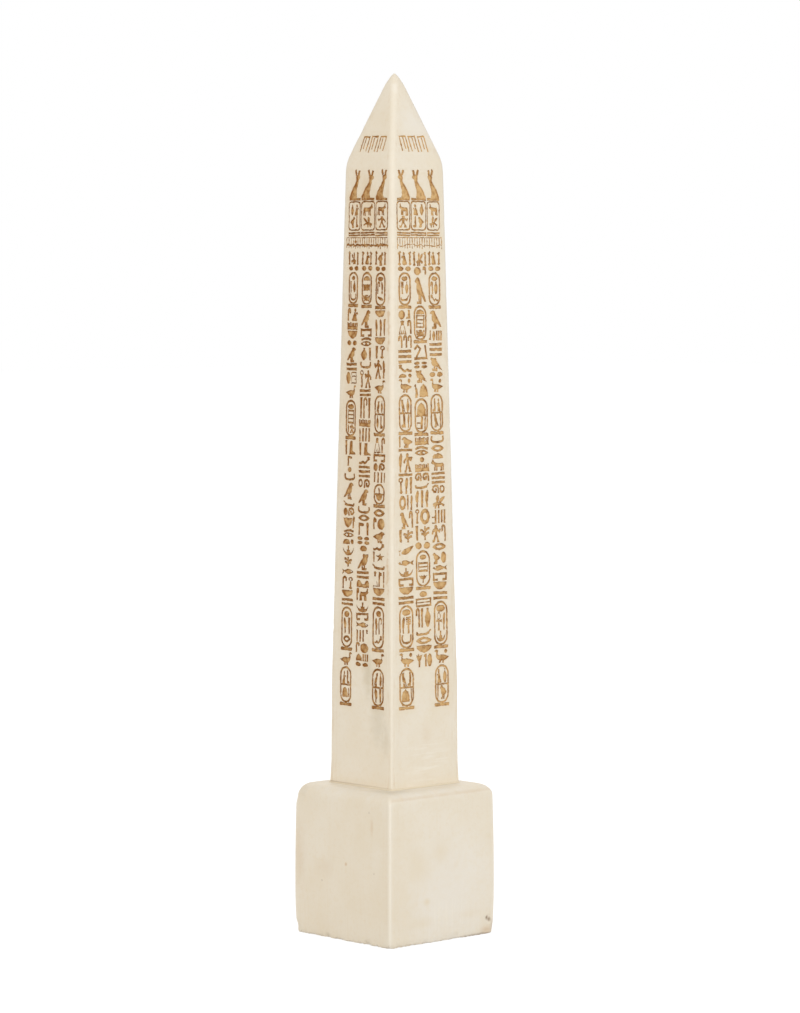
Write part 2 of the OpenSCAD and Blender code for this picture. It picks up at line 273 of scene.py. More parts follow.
# Columns of signs, read downwards. A row is its signs, side by side, and its share of the column's height.
# O(...) is a ring on a base bar and D(...) a divided one; the rows of signs in them are split by semicolons.
FRONT_COLUMNS = (
    "staff+sitter+staff/5.2 dots/2.1 O(disc;pillar+jar;arm)/13.4 grain+leg/3.8 tassel+hook/5.4"
    " hook+hook+hook/4.8 rails/5.4 viper/3.2 loaf+grain/1.9 duck_disc/5.4 D(owl+jar;leg+reed)/15"
    " post+chick/4.4 bar/1.4 reed+walker/7.4 bar/1.4 ladle+reed+post/6.4 bead+post+reed/5.8"
    " falcon+hook/6.6 post+sedge/4.8 cross+knife/5.6 fish/3 boat/3.8 court/3.2 basket/3.2 bars/3.2"
    " O(disc;reed+pillar;horns)/17 duck_disc/5.4 D(owl+leg;loaf+post)/15.4",
    "staff+bee+staff/5.2 grain+hook/3 falcon/9.6 O(loaf;mat;beetle)/13 tent/5.6 seeds/2.8 owl/4.6"
    " falcon+loaf/4.8 D(loaf;throne+reed)/13 comb/3 eye/3.6 grain/2.2 comb/3 coil+coil/3.2 arm/2.6"
    " reed+post+reed/6.2 ladle+bead/5.6 post+sedge/5.4 dots/2.8 O(disc;chest;lotus)/13.6 disc/2.4"
    " chest/3.2 hook+post+jar/7 arm/2.8 lens/2.8 basket/2.8 lotus+banner+grain/4.8",
    "staff+sitter+staff/5.2 dots/2.1 O(disc;hook+jar;viper)/13.4 falcon/7 leg+grain+strokes/4.6 rails/5.2"
    " owl/5.3 dots/2.2 duck_disc/5.4 D(leg+sitter;falcon+post)/15 horns/3.2 lens/3 loaf/2.4 calf/4.4"
    " rails/4.6 coil+bead/3.4 bee/5.4 throne+strokes/5.4 walker+hook/6.6 lens/3 chick+grain/4.6 fish/3"
    " court/3.2 basket/3.4 bars/3.4 O(disc;cross+reed;boat)/17.4 duck_disc/5.4"
    " D(sitter+jar;post+chick)/15.4",
)
SIDE_COLUMNS = (
    "staff+bee+staff/5.2 dots/2.1 O(grain;jar+post;horns)/13.4 sitter+hook/5.2 comb/3 basket/3.4 dots/2.4"
    " falcon/6 bars/3.2 mat+grain/4.8 duck/5.4 O(disc;mat;walker+reed)/15 leg+post/5.6 banner/4.2"
    " grain/2.2 horns/3.2 falcon/6.6 arm/2.8 coil+grain/3.4 hook+basket/4.6 eye/3.4 grain+loaf/2.4"
    " boat/4.2 sedge/4.2 fish/3.2 ladle+hook/5 basket/3 bars/3 O(grain;post+reed;lens)/16.6 duck/5.4"
    " D(leg+sitter;reed+loaf)/15",
    "staff+sitter+staff/5.2 dots/2.1 O(loaf;comb;beetle)/13.4 falcon/7 court/3.2 eye/3.6 post+jar/5"
    " horns/3 walker+ladle/7 bars/3 post+hook+post/8 comb/3 strokes+reed/5.4 leg+post/5 viper/3.2"
    " rails/4.8 coil+bead/3.6 falcon/6.2 horns/3 lens/3 post+banner/5 seeds/3.4 disc/2.6 owl/6.6 bars/3.2"
    " hills/3 calf+hook/5 boat/4 court/3 fish/3 tassel+strokes/4.8 grain+hook/4 strokes+loaf/3 dots/2",
    "staff+chick+staff/5.2 dots/2.1 O(disc;reed+hook;knife)/13.4 basket/3 post+reed+reed/6.4 basket/3"
    " ladle+post/5 reed+walker/7 duck/5.4 D(jar+owl;leg+jar)/15 hook+tassel/6 court/3 coil+grain/3.2"
    " post+strokes/4 D(reed;basket)/9 lens/3.2 grain+hook/4.6 chick/4.4 viper/3 star+post/4 arm/2.8"
    " post+banner+tassel/6 basket/3.2 bars/3.2 O(grain;hook+reed;viper)/16.6 duck/5.4"
    " D(jar+owl;post+reed)/15",
)
# The rows of signs in the framed panels over the columns
PANELS = ("calf;walker", "sitter+jar;leg+chick", "calf;bee")
# For each side, seen from outside and turning left: its columns, whether its signs look right, how dark its
# paint is and how wide its columns are cut
FACES = (
    (FRONT_COLUMNS, False, 0.05, 1.0),
    (SIDE_COLUMNS[::-1], True, 0.3, 0.95),
    (FRONT_COLUMNS[::-1], False, 0.2, 1.0),
    (SIDE_COLUMNS, True, 0.62, 0.88),
)

# Heights of the sign rows above the table, in millimetres: low, high
RAKE_Z = (279.2, 285.4)
BIRD_Z = (262.3, 273.4)
PANEL_Z = (251.8, 262.2)
LINES_Z = (249.9, 251.3)
FRINGE_Z = (245.3, 249.5)
COLUMNS_TOP_Z = 244.6
OUTER_END_Z, MIDDLE_END_Z = 82.4, 97.0
# Columns: the middle of each and its width, as shares of the half side
COLUMN_PLACES = (-0.547, -0.015, 0.509)
COLUMN_SHARES = (0.455, 0.47, 0.44)
# The rows over the columns: the same for panels and birds, and for the rakes on the pyramid
PANEL_PLACES = (-0.575, -0.03, 0.51)
PANEL_SHARES = (0.49, 0.56, 0.47)
RAKE_PLACES = (-0.47, -0.05, 0.375)
RAKE_SHARE = 0.37
# Gaps and strokes in millimetres, the most that a sign is stretched one way, and the least place that a
# narrow sign gets in its row, as a share of the mean
ROW_GAP = 0.5
SIGN_GAP = 0.42
LEAST_STROKE = 0.76
LEAST_SMALL_STROKE = 0.54
LEAST_RAKE_STROKE = 0.36
LEAST_STANDING_STROKE = 0.24
LEAST_OVAL, LEAST_STANDING_OVAL = 0.3, 0.15
MOST_STRETCH = 1.8
LEAST_PLACE = 0.25
# How far an edge swells and wobbles under the hand, and the share of that for a shape left standing
CUT_SWELL = 0.09
CUT_WOBBLE = 0.24
WOBBLE_WAVE = 0.9
STANDING_WOBBLE = 0.3
EDGE_STEP = 0.72
# How much a sign differs from the next of its kind: its size, its place in millimetres, its lean in degrees
SIZE_DRIFT = (0.96, 1.02)
ACROSS_DRIFT, UP_DRIFT = 0.1, 0.08
LEAN_DRIFT = 1.6
# Rings: the base bar, how far the ring rises from the bar's foot and dips back into the bar, how far it
# stands in at each side, as a share of its width, and the room at its ends
BAR_H, BAR_CORNER = 1.1, 0.2
RING_LINE = 0.78
RING_LIFT, RING_OVERLAP = 1.5, 0.55
RING_INSET = 0.025
RING_END = 1.35
# Panels: their line, their corners and the room at top and foot
PANEL_LINE = 0.6
PANEL_CORNER = 1.1
PANEL_END = 1.0
# In rings and panels: room at the sides, gap at each row's top and foot, and the shares of three rows
FRAME_SIDE = 1.0
FRAME_ROW_GAP = 0.12
THREE_ROWS = (0.8, 2.0, 1.2)
# The bar that divides a ring: its room at the sides, and how far it lies below and above the rows' meeting
DIVIDER_INSET = 0.3
DIVIDER_BELOW, DIVIDER_ABOVE = 0.26, 0.28
DIVIDER_CORNER = 0.1
# The fringe: its reach as a share of the half side, its strokes, and how much they differ at foot and top
FRINGE_REACH = 0.8
FRINGE_STROKES = 19
FRINGE_STROKE = (0.12, 0.28)
FRINGE_SHORT, FRINGE_LOW = 0.9, 0.3
# The hem: how far it lies under the fringe's top, and its line
HEM_DROP, HEM_LINE = 0.2, 0.16
# The cord across the fringe, bold on the sides whose signs look right
CORD_RISE, CORD_WAVER, CORD_POINTS = 1.3, 0.4, 25
BOLD_CORD, THIN_CORD = 0.75, 0.16


def turn_left(outline):
    """The outline as an array, wound anticlockwise, with no two points in a row on one spot."""
    points = np.asarray(outline, float)
    points = points[np.linalg.norm(points - np.roll(points, 1, 0), axis=1) > 0.1]
    x, y = points.T
    return points if np.sum(x * np.roll(y, -1) - np.roll(x, -1) * y) > 0 else points[::-1]


def spline(points, closed):
    """Points of a Catmull-Rom curve through the given ones, more of them on a longer one."""
    p = np.asarray(points, float)
    if len(p) < 3:
        return p
    steps = int(np.clip(round(np.linalg.norm(np.diff(p, axis=0), axis=1).mean() / EDGE_STEP), 1, 4))
    if closed:
        before, here, after, beyond = np.roll(p, 1, 0), p, np.roll(p, -1, 0), np.roll(p, -2, 0)
    else:
        q = np.vstack([2 * p[0] - p[1], p, 2 * p[-1] - p[-2]])
        before, here, after, beyond = q[:-3], q[1:-2], q[2:-1], q[3:]
    t = (np.arange(steps) / steps)[None, :, None]
    a, b, c, d = (v[:, None, :] for v in (before, here, after, beyond))
    bend, twist = 2 * a - 5 * b + 4 * c - d, 3 * b - a - 3 * c + d
    curve = (0.5 * (2 * b + (c - a) * t + bend * t ** 2 + twist * t ** 3)).reshape(-1, 2)
    return curve if closed else np.vstack([curve, p[-1]])


def normals(points, closed):
    """Mitred left normals of a path, long enough to move each edge by one unit."""
    after = np.roll(points, -1, 0) - points
    before = points - np.roll(points, 1, 0)
    if not closed:
        after[-1], before[0] = before[-1], after[0]
    unit = [v / np.maximum(np.linalg.norm(v, axis=1, keepdims=True), 1e-9) for v in (before, after)]
    left = [np.column_stack([-v[:, 1], v[:, 0]]) for v in unit]
    mid = left[0] + left[1]
    mid /= np.maximum(np.linalg.norm(mid, axis=1, keepdims=True), 1e-9)
    return mid / np.maximum(np.sum(mid * left[0], axis=1, keepdims=True), 0.55)


def ribbon(path, width):
    """Outline of a stroke of that width along an open path."""
    n = normals(path, False) * width / 2
    return np.vstack([path + n, (path - n)[::-1]])


def oval(centre, radii):
    """Outline of an oval, with more points on a larger one."""
    count = int(np.clip(round(2 * math.pi * max(radii) / EDGE_STEP), 7, 40))
    a = np.arange(count) * 2 * math.pi / count
    return np.column_stack([centre[0] + radii[0] * np.cos(a), centre[1] + radii[1] * np.sin(a)])


def stadium(low, high, radius):
    """Outline of a rectangle with rounded corners."""
    radius = min(radius, (high[0] - low[0]) / 2, (high[1] - low[1]) / 2)
    corners = ((1, 1, 0), (-1, 1, 90), (-1, -1, 180), (1, -1, 270))
    ends = {1: np.asarray(high) - radius, -1: np.asarray(low) + radius}
    points = []
    steps = int(np.clip(round(radius * math.pi / 2 / EDGE_STEP), 1, 8))
    for sx, sy, start in corners:
        for step in range(steps + 1):
            a = math.radians(start + 90 * step / steps)
            points.append((ends[sx][0] + radius * math.cos(a), ends[sy][1] + radius * math.sin(a)))
    return np.array(points)


def hand_cut(outline, cut=True):
    """The outline as a hand cuts it: wound anticlockwise, swelled a little, its edges wobbling."""
    points = turn_left(outline)
    ends = np.roll(points, -1, 0)
    fine = []
    for a, b, gap in zip(points, ends, np.linalg.norm(ends - points, axis=1)):
        count = max(1, round(gap / EDGE_STEP))
        fine += [a + (b - a) * i / count for i in range(count)]
    fine = np.array(fine)
    wobble = np.array([noise.noise(Vector((u, z, 0.0)) / WOBBLE_WAVE) for u, z in fine]) * CUT_WOBBLE
    return fine - normals(fine, True) * (wobble + CUT_SWELL if cut else STANDING_WOBBLE * wobble)[:, None]


def draw_sign(name, low, high, looks_right, hand, least_stroke=LEAST_STROKE):
    """Shapes of one sign fitted in the box, as [(outline, cut or left standing)]."""
    width, height, drawing = SIGNS[name]
    room = np.subtract(high, low)
    even = min(room[0] / width, room[1] / height)
    scale = np.minimum(room / (width, height), MOST_STRETCH * even) * hand.uniform(*SIZE_DRIFT)
    drift = [hand.uniform(-ACROSS_DRIFT, ACROSS_DRIFT), hand.uniform(-UP_DRIFT, UP_DRIFT)]
    middle = (np.asarray(low) + high) / 2 + drift
    lean = math.radians(hand.uniform(-LEAN_DRIFT, LEAN_DRIFT))
    rotate = np.array([[math.cos(lean), math.sin(lean)], [-math.sin(lean), math.cos(lean)]])
    flip = np.array([-1.0 if looks_right else 1.0, 1.0])

    def place(pairs):
        p = np.array([[float(v) for v in pair.split(",")] for pair in pairs])
        return ((p - (width / 2, height / 2)) * scale * flip) @ rotate + middle

    shapes = []
    for text in drawing.split(";"):
        kind, *words = text.split()
        cut = not kind.startswith("-")
        kind = kind.lstrip("-")
        if kind == "b":
            outline = spline(place(words), True)
        elif kind == "p":
            outline = place(words)
        elif kind == "e":
            centre = place(words[:1])[0]
            radii = np.array([float(v) for v in words[1].split(",")]) * scale
            outline = oval(centre, np.maximum(radii, LEAST_OVAL if cut else LEAST_STANDING_OVAL))
        else:
            stroke = float(words[0]) * float(np.mean(scale))
            path = place(words[1:])
            path = spline(path, False) if kind == "s" else path
            outline = ribbon(path, max(stroke, least_stroke if cut else LEAST_STANDING_STROKE))
        shapes.append((hand_cut(outline, cut), cut))
    return shapes


def draw_row(names, low, high, looks_right, hand, least_stroke=LEAST_STROKE):
    """Shapes of the signs of one row, side by side in the box, wide signs in wide places."""
    names = names.split("+")
    if looks_right:
        names = names[::-1]
    shares = [SIGNS[n][0] / SIGNS[n][1] for n in names]
    shares = [max(s, LEAST_PLACE * sum(shares) / len(shares)) for s in shares]
    room = high[0] - low[0] - SIGN_GAP * (len(names) - 1)
    shapes, x = [], low[0]
    for name, share in zip(names, shares):
        w = room * share / sum(shares)
        shapes += draw_sign(name, (x, low[1]), (x + w, high[1]), looks_right, hand, least_stroke)
        x += w + SIGN_GAP
    return shapes


def draw_frame(kind, rows, low, high, looks_right, hand):
    """Shapes of a ring on its base bar (O), a divided ring (D) or a panel (P), and of the signs in it."""
    shapes = []
    low, high = np.array(low), np.array(high)
    line, radius, end = PANEL_LINE, PANEL_CORNER, PANEL_END
    if kind != "P":
        shapes.append((hand_cut(stadium(low, (high[0], low[1] + BAR_H), BAR_CORNER)), True))
        inset = RING_INSET * (high[0] - low[0])
        low = np.array((low[0] + inset, low[1] + RING_LIFT - RING_OVERLAP))
        high = np.array((high[0] - inset, high[1]))
        line, radius, end = RING_LINE, (high[0] - low[0]) / 2, RING_END
    shapes.append((hand_cut(stadium(low, high, radius)), True))
    shapes.append((hand_cut(stadium(low + line, high - line, radius - line), False), False))
    rows = rows.split(";")
    weights = THREE_ROWS if len(rows) == 3 else (1.0,) * len(rows)
    left, right = low[0] + FRAME_SIDE, high[0] - FRAME_SIDE
    top = high[1] - end
    for i, (names, weight) in enumerate(zip(rows, weights)):
        step = (high[1] - low[1] - 2 * end) * weight / sum(weights)
        row_low, row_high = (left, top - step + FRAME_ROW_GAP), (right, top - FRAME_ROW_GAP)
        shapes += draw_row(names, row_low, row_high, looks_right, hand, LEAST_SMALL_STROKE)
        if kind == "D" and i:
            divider_low = (low[0] + DIVIDER_INSET, top - DIVIDER_BELOW)
            divider_high = (high[0] - DIVIDER_INSET, top + DIVIDER_ABOVE)
            shapes.append((hand_cut(stadium(divider_low, divider_high, DIVIDER_CORNER)), True))
        top -= step
    return shapes


def span(half, middle, width, low_z, high_z):
    """Two corners of a box on a side: its middle and width are shares of the half side."""
    return (half * (middle - width / 2), low_z), (half * (middle + width / 2), high_z)


def draw_column(text, place, share, top, end, half_at, looks_right, hand):
    """Shapes of one column of signs, its rows stretched to fill the height from top to end."""
    rows = [r.rsplit("/", 1) for r in text.split()]
    stretch = (top - end) / sum(float(h) for _, h in rows)
    shapes, z = [], top
    for names, h in rows:
        low_z = z - float(h) * stretch
        box = span(half_at((z + low_z) / 2), place, share, low_z + ROW_GAP / 2, z - ROW_GAP / 2)
        if names[1] == "(":
            shapes += draw_frame(names[0], names[2:-1], *box, looks_right, hand)
        else:
            shapes += draw_row(names, *box, looks_right, hand)
        z = low_z
    return shapes


def draw_fringe(looks_right, half_at, hand):
    """Shapes of the fringe over the columns: its strokes, the hem along their tops and a cord across them."""
    low, high = FRINGE_Z
    reach = half_at(low) * FRINGE_REACH
    shapes = []
    for i in range(FRINGE_STROKES):
        u = reach * (2 * i / (FRINGE_STROKES - 1) - 1)
        path = np.array([(u, low + hand.uniform(0, FRINGE_SHORT)), (u, high - hand.uniform(0, FRINGE_LOW))])
        shapes.append((hand_cut(ribbon(path, hand.uniform(*FRINGE_STROKE))), True))
    hem = np.array([(-reach, high - HEM_DROP), (reach, high - HEM_DROP)])
    shapes.append((hand_cut(ribbon(hem, HEM_LINE)), True))
    waver = np.array([hand.uniform(-CORD_WAVER, CORD_WAVER) for _ in range(CORD_POINTS)])
    cord = np.column_stack([reach * np.linspace(-1, 1, CORD_POINTS), low + CORD_RISE + waver])
    shapes.append((hand_cut(ribbon(cord, BOLD_CORD if looks_right else THIN_CORD)), True))
    return shapes


def draw_face(columns, looks_right, column_width, half_at, hand):
    """All the sign shapes of one side of the shaft, as outlines in millimetres: across and up."""
    shapes = []
    rows = [COLUMN_PLACES, COLUMN_SHARES, PANEL_PLACES, PANEL_SHARES, RAKE_PLACES]
    # A side whose signs look right is laid out in mirror image
    if looks_right:
        rows = [row[::-1] for row in rows]
    way = -1 if looks_right else 1
    for i, (text, place, share, panel_place, panel_share, rake_place) in enumerate(zip(columns, *rows)):
        panel_middle = way * panel_place
        for names, (low, high), middle, width, least in (
            ("rake", RAKE_Z, way * rake_place, RAKE_SHARE, LEAST_RAKE_STROKE),
            ("crowned_bird", BIRD_Z, panel_middle, panel_share, LEAST_SMALL_STROKE),
            ("bars", LINES_Z, panel_middle, panel_share, LEAST_SMALL_STROKE),
        ):
            box = span(half_at((low + high) / 2), middle, width, low, high)
            shapes += draw_row(names, *box, looks_right, hand, least)
        box = span(half_at(PANEL_Z[0]), panel_middle, panel_share, *PANEL_Z)
        shapes += draw_frame("P", PANELS[(i + looks_right) % len(PANELS)], *box, looks_right, hand)
        end = MIDDLE_END_Z if i == 1 else OUTER_END_Z
        shapes += draw_column(text, way * place, share * column_width, COLUMNS_TOP_Z, end, half_at,
                              looks_right, hand)
    return shapes + draw_fringe(looks_right, half_at, hand)


def inside(points, outline):
    """Which points lie in the closed outline."""
    x, y = points[:, 0:1], points[:, 1:2]
    a, b = outline, np.roll(outline, -1, 0)
    crosses = (a[:, 1] > y) != (b[:, 1] > y)
    rise = np.where(b[:, 1] == a[:, 1], 1e-12, b[:, 1] - a[:, 1])
    return (crosses & (x < (b[:, 0] - a[:, 0]) * (y - a[:, 1]) / rise + a[:, 0])).sum(1) % 2 == 1


# Steps of the shaft's rounded places, the angle at which the worn point's little flat starts, the most that
# an arris takes of the half side near the point, and the gap between stations up the arrises
BLEND_STEPS, CURVE_STEPS, POINT_STEPS = 10, 8, 5
POINT_FLAT = math.radians(78)
MOST_ARRIS = 0.9
STATION_STEP = 1.6
# How far in from its edge a wide sign's paint thins out and the painted shade of its walls fades, and how far
# a narrow sign's walls lean in, as a share of its area over its edge
CORE_STEP = 0.5
NARROW_STEP = 0.62
# Loose points: their gap, that at the foot and the point, and their places along a bend
LOOSE_GAP = 3.0
END_GAP = 0.3
BEND_SPREAD = (-0.75, -0.4, 0.0, 0.4, 0.75)
# Points of outlines nearer than this are taken as one
MERGE_GAP = 1e-5


def floor_outline(outline, cut, slope):
    """The outline of a cut shape's floor, drawn in from its edge, or out from a shape left standing; that of
    the middle of the floor where it is wide, or None; and the share of the full depth that it gets."""
    edges = np.linalg.norm(np.roll(outline, -1, 0) - outline, axis=1).sum()
    x, y = outline.T
    area = abs(np.sum(x * np.roll(y, -1) - np.roll(x, -1) * y)) / 2
    step = min(slope, NARROW_STEP * area / edges)
    floor = outline + normals(outline, True) * (step if cut else -slope)
    core = outline + normals(outline, True) * CORE_STEP if cut and area / edges > CORE_STEP else None
    return floor, core, step / slope


class Profile:
    """Half side, arris radius and outward lean of the shaft by height, from stations up its middle."""

    def __init__(self, sizes):
        mm = in_mm(sizes)
        foot_z = SHAFT_BOX[0].z / MM
        foot_w = (SHAFT_BOX[1].x - SHAFT_BOX[0].x) / MM
        shoulder_z = foot_z + mm["shaft_h"]
        lean = math.atan((mm["plumb_top_w"] - mm["shoulder_w"]) / 2 / (mm["shaft_h"] - mm["plumb_h"]))
        steep = math.atan(mm["shoulder_w"] / 2 / mm["pyramid_h"])
        # Centre of the arc that blends the shaft into the pyramid
        run = mm["shoulder_r"] * math.tan((steep - lean) / 2)
        blend_x = mm["shoulder_w"] / 2 + run * math.sin(lean) - mm["shoulder_r"] * math.cos(lean)
        blend_z = shoulder_z - run * math.cos(lean) - mm["shoulder_r"] * math.sin(lean)
        # Places where the side bends, as (height, half side)
        bends = [(foot_z, foot_w / 2), (foot_z + mm["flare_h"], mm["flare_top_w"] / 2),
                 (foot_z + mm["plumb_h"], mm["plumb_top_w"] / 2)]
        for i in range(BLEND_STEPS + 1):
            a = lean + (steep - lean) * i / BLEND_STEPS
            bends.append((blend_z + mm["shoulder_r"] * math.sin(a), blend_x + mm["shoulder_r"] * math.cos(a)))
        # Sides that curve in to the worn point: how far the centre of their curve lies beyond that of the
        # point's own arc, and the height of the latter
        curve_r, curve_a, point_r = mm["point_curve_r"], sizes.point_curve_a, mm["point_r"]
        reach = curve_r - point_r
        point_z = shoulder_z + mm["pyramid_h"] + reach * math.sin(curve_a)
        point_z -= (curve_r - reach * math.cos(curve_a) * math.cos(steep)) / math.sin(steep)
        rings = []
        for i in range(CURVE_STEPS + 1):
            a = steep + (curve_a - steep) * i / CURVE_STEPS
            rings.append((point_z + curve_r * math.sin(a) - reach * math.sin(curve_a),
                          curve_r * math.cos(a) - reach * math.cos(curve_a)))
        for i in range(1, POINT_STEPS + 1):
            a = curve_a + (POINT_FLAT - curve_a) * i / POINT_STEPS
            rings.append((point_z + point_r * math.sin(a), point_r * math.cos(a)))
        # Rings over the end of the straight pyramid, as (height, half side, arris radius)
        self.point = [(z, half, min(mm["point_arris_r"], MOST_ARRIS * half)) for z, half in rings[1:]]
        bends.append(rings[0])
        self.bend_z, self.bend_half = np.array(bends).T
        self.arris_z = np.array([foot_z, self.bend_z[3], self.bend_z[-2], self.bend_z[-1]])
        self.arris = np.array([mm["foot_arris_r"], mm["shoulder_arris_r"], mm["shoulder_arris_r"],
                               mm["point_arris_r"]])
        # Stations up the arrises: every bend, and more between them
        z = []
        for low, high in zip(self.bend_z[:-1], self.bend_z[1:]):
            z += list(np.linspace(low, high, max(1, round((high - low) / STATION_STEP)) + 1)[:-1])
        self.station_z = np.array(z + [self.bend_z[-1]])

    def half(self, z):
        return np.interp(z, self.bend_z, self.bend_half)

    def radius(self, z):
        return np.interp(z, self.arris_z, self.arris)

    def flat(self, z):
        return self.half(z) - self.radius(z)

    def lean(self, z):
        """Angle of the outward normal above the level."""
        low = np.clip(np.searchsorted(self.bend_z, z, side="right") - 1, 0, len(self.bend_z) - 2)
        rise = self.bend_z[low + 1] - self.bend_z[low]
        return np.arctan2(self.bend_half[low] - self.bend_half[low + 1], rise)

    def along(self, z):
        """Distance up the face from the foot, for laying it out flat."""
        steps = np.hypot(np.diff(self.bend_z), np.diff(self.bend_half))
        return np.interp(z, self.bend_z, np.concatenate([[0], np.cumsum(steps)]))


def loose_points(profile):
    """Points (across, up) spread over a side between its signs, so that the face can wave."""
    z, gap = profile.station_z, LOOSE_GAP
    spread = [(u, h) for h in np.arange(z[0] + gap / 2, z[-1] - gap, gap)
              for u in np.arange(-profile.flat(h) + gap * 0.6, profile.flat(h) - gap * 0.5, gap)]
    bends = [profile.bend_z[0] + END_GAP, *profile.bend_z[1:-1], profile.bend_z[-1] - END_GAP]
    return np.array(spread + [(u * profile.flat(h), h) for h in bends for u in BEND_SPREAD])


def carve(profile, shapes, slope):
    """One side with its signs cut in: points (across, up), triangles, and for each point how deep it is,
    whether it is in the middle of a wide floor, and whether it is on a sign at all.
    The first points are the side's right edge, then its left edge, station by station."""
    z = profile.station_z
    flat = profile.flat(z)
    points = [np.column_stack([flat, z]), np.column_stack([-flat, z])]
    n = len(z)
    edges = [(i, i + 1) for i in range(n - 1)] + [(n + i, n + i + 1) for i in range(n - 1)]
    edges += [(i, n + i) for i, h in enumerate(z) if np.isclose(h, profile.bend_z).any()]
    count = 2 * n
    outlines = []
    for outline, cut in shapes:
        low, core, depth = floor_outline(outline, cut, slope)
        outlines.append((low, core, depth if cut else 0.0))
        for ring in (outline, low, core):
            if ring is None:
                continue
            points.append(ring)
            m = len(ring)
            edges += [(count + i, count + (i + 1) % m) for i in range(m)]
            count += m
    points = np.vstack(points + [loose_points(profile)])
    made, _, triangles, origin, _, _ = delaunay_2d_cdt([Vector(p) for p in points], edges, [], 0, MERGE_GAP)
    made = np.array([tuple(v) for v in made])
    triangles = np.array([t for t in triangles if len(t) == 3])
    middles = made[triangles].mean(1)
    keep = np.abs(middles[:, 0]) < profile.flat(middles[:, 1]) - 10 * MERGE_GAP
    triangles, middles = triangles[keep], middles[keep]
    # Later shapes lie over earlier ones, so the last one that a triangle is in decides
    low_state, core_state = np.zeros(len(triangles)), np.zeros(len(triangles), bool)
    for low, core, depth in outlines:
        box = np.where(((middles >= low.min(0)) & (middles <= low.max(0))).all(1))[0]
        hit = box[inside(middles[box], low)]
        low_state[hit] = depth
        if not depth:
            core_state[hit] = False
        elif core is not None:
            core_state[box[inside(middles[box], core)]] = True
    deep, thin = np.zeros(len(made)), np.zeros(len(made))
    np.maximum.at(deep, triangles.ravel(), np.repeat(low_state, 3))
    thin[triangles[core_state].ravel()] = 1.0
    # Put the edge points first, in their own order
    place, signed = np.full(len(made), -1), np.zeros(len(made))
    for new, olds in enumerate(origin):
        for old in olds:
            if old < 2 * n:
                place[new] = old
            elif old < count:
                signed[new] = 1.0
    rest = np.where(place < 0)[0]
    place[rest] = 2 * n + np.arange(len(rest))
    if len(set(place[place < 2 * n])) != 2 * n:
        raise RuntimeError("a sign reaches the edge of its side")
    ordered, numbers = np.empty((2 * n + len(rest), 2)), np.empty((2 * n + len(rest), 3))
    ordered[place], numbers[place] = made, np.column_stack([deep, thin, signed])
    return ordered, place[triangles], numbers.T


def waves(points, size):
    """Soft noise from 0 to 1 at points in millimetres, with waves about that long."""
    return np.array([0.5 + 0.5 * noise.noise(Vector(p) / size) for p in points])


def quarter_turns(points, side):
    """The points turned about the upright axis, from the front to the given side."""
    a = math.radians(90 * side)
    turn = np.array([[math.cos(a), math.sin(a), 0], [-math.sin(a), math.cos(a), 0], [0, 0, 1]])
    return points @ turn


class Skin:
    """Points, faces, flat layout and painted numbers of one closed mesh, gathered band by band."""

    def __init__(self, *labels):
        self.points, self.faces, self.layout = [], [], []
        self.numbers = {label: [] for label in labels}
        self.count = 0

    def add_points(self, points, **numbers):
        for label, values in self.numbers.items():
            values.append(np.broadcast_to(numbers.get(label, 0.0), len(points)))
        self.points.append(points)
        self.count += len(points)
        return np.arange(self.count - len(points), self.count)

    def add_faces(self, faces, layout):
        self.faces += np.asarray(faces).tolist()
        self.layout.append(np.asarray(layout, float).reshape(-1, 2))

    def add_band(self, low, high, low_place, high_place):
        """Quads between two rows of points, with the places of those points in the flat layout."""
        faces = np.column_stack([low[:-1], low[1:], high[1:], high[:-1]])
        layout = np.stack([low_place[:-1], low_place[1:], high_place[1:], high_place[:-1]], 1)
        self.add_faces(faces, layout)

    def piece(self, name, node, slot_name, material, sharp_angle):
        """The mesh object, standing for a node of the frame."""
        mesh = bpy.data.meshes.new(name)
        mesh.from_pydata((np.vstack(self.points) * MM).tolist(), [], self.faces)
        if mesh.validate():
            raise RuntimeError(f"{name} has faulty faces")
        for label, values in self.numbers.items():
            layer = mesh.attributes.new(label, "FLOAT", "POINT")
            layer.data.foreach_set("value", np.concatenate(values).astype(np.float32))
        flat = np.vstack(self.layout)
        flat = (flat - flat.min(0)) / (flat.max(0) - flat.min(0)) * 0.99 + 0.005
        layer = mesh.uv_layers.new(name="OFBake")
        layer.data.foreach_set("uv", flat.astype(np.float32).ravel())
        mesh.materials.append(material)
        mesh.shade_smooth()
        mesh.set_sharp_from_angle(angle=sharp_angle)
        made = bpy.data.objects.new(name, mesh)
        bpy.context.scene.collection.objects.link(made)
        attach(made, "root")
        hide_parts(node)


def looped(row):
    """A row of points, numbers or places round a piece, with its first one once more at the end."""
    return np.append(row, row[:1], axis=0)


ARRIS_STEPS = 6
# Width of one side in the flat layout of the shaft, with its arris, and scale of a piece's ends in it
SIDE_PITCH = 36.0
END_SCALE = 0.2
# Lengths of the waves in the depth of the signs, in the rubbed faces and in the knocked arrises
DEPTH_WAVE, RUB_WAVE, KNOCK_WAVE = 2.2, 11.0, 3.2
# The height of a wave from which it knocks an arris back, and how far it does
KNOCK_FROM, KNOCK_DEPTH = 0.62, 0.7
# How much lighter the paint of the rakes is, and how rubbed the point is
FAINT_RAKES = 0.45
POINT_WEAR = 0.4


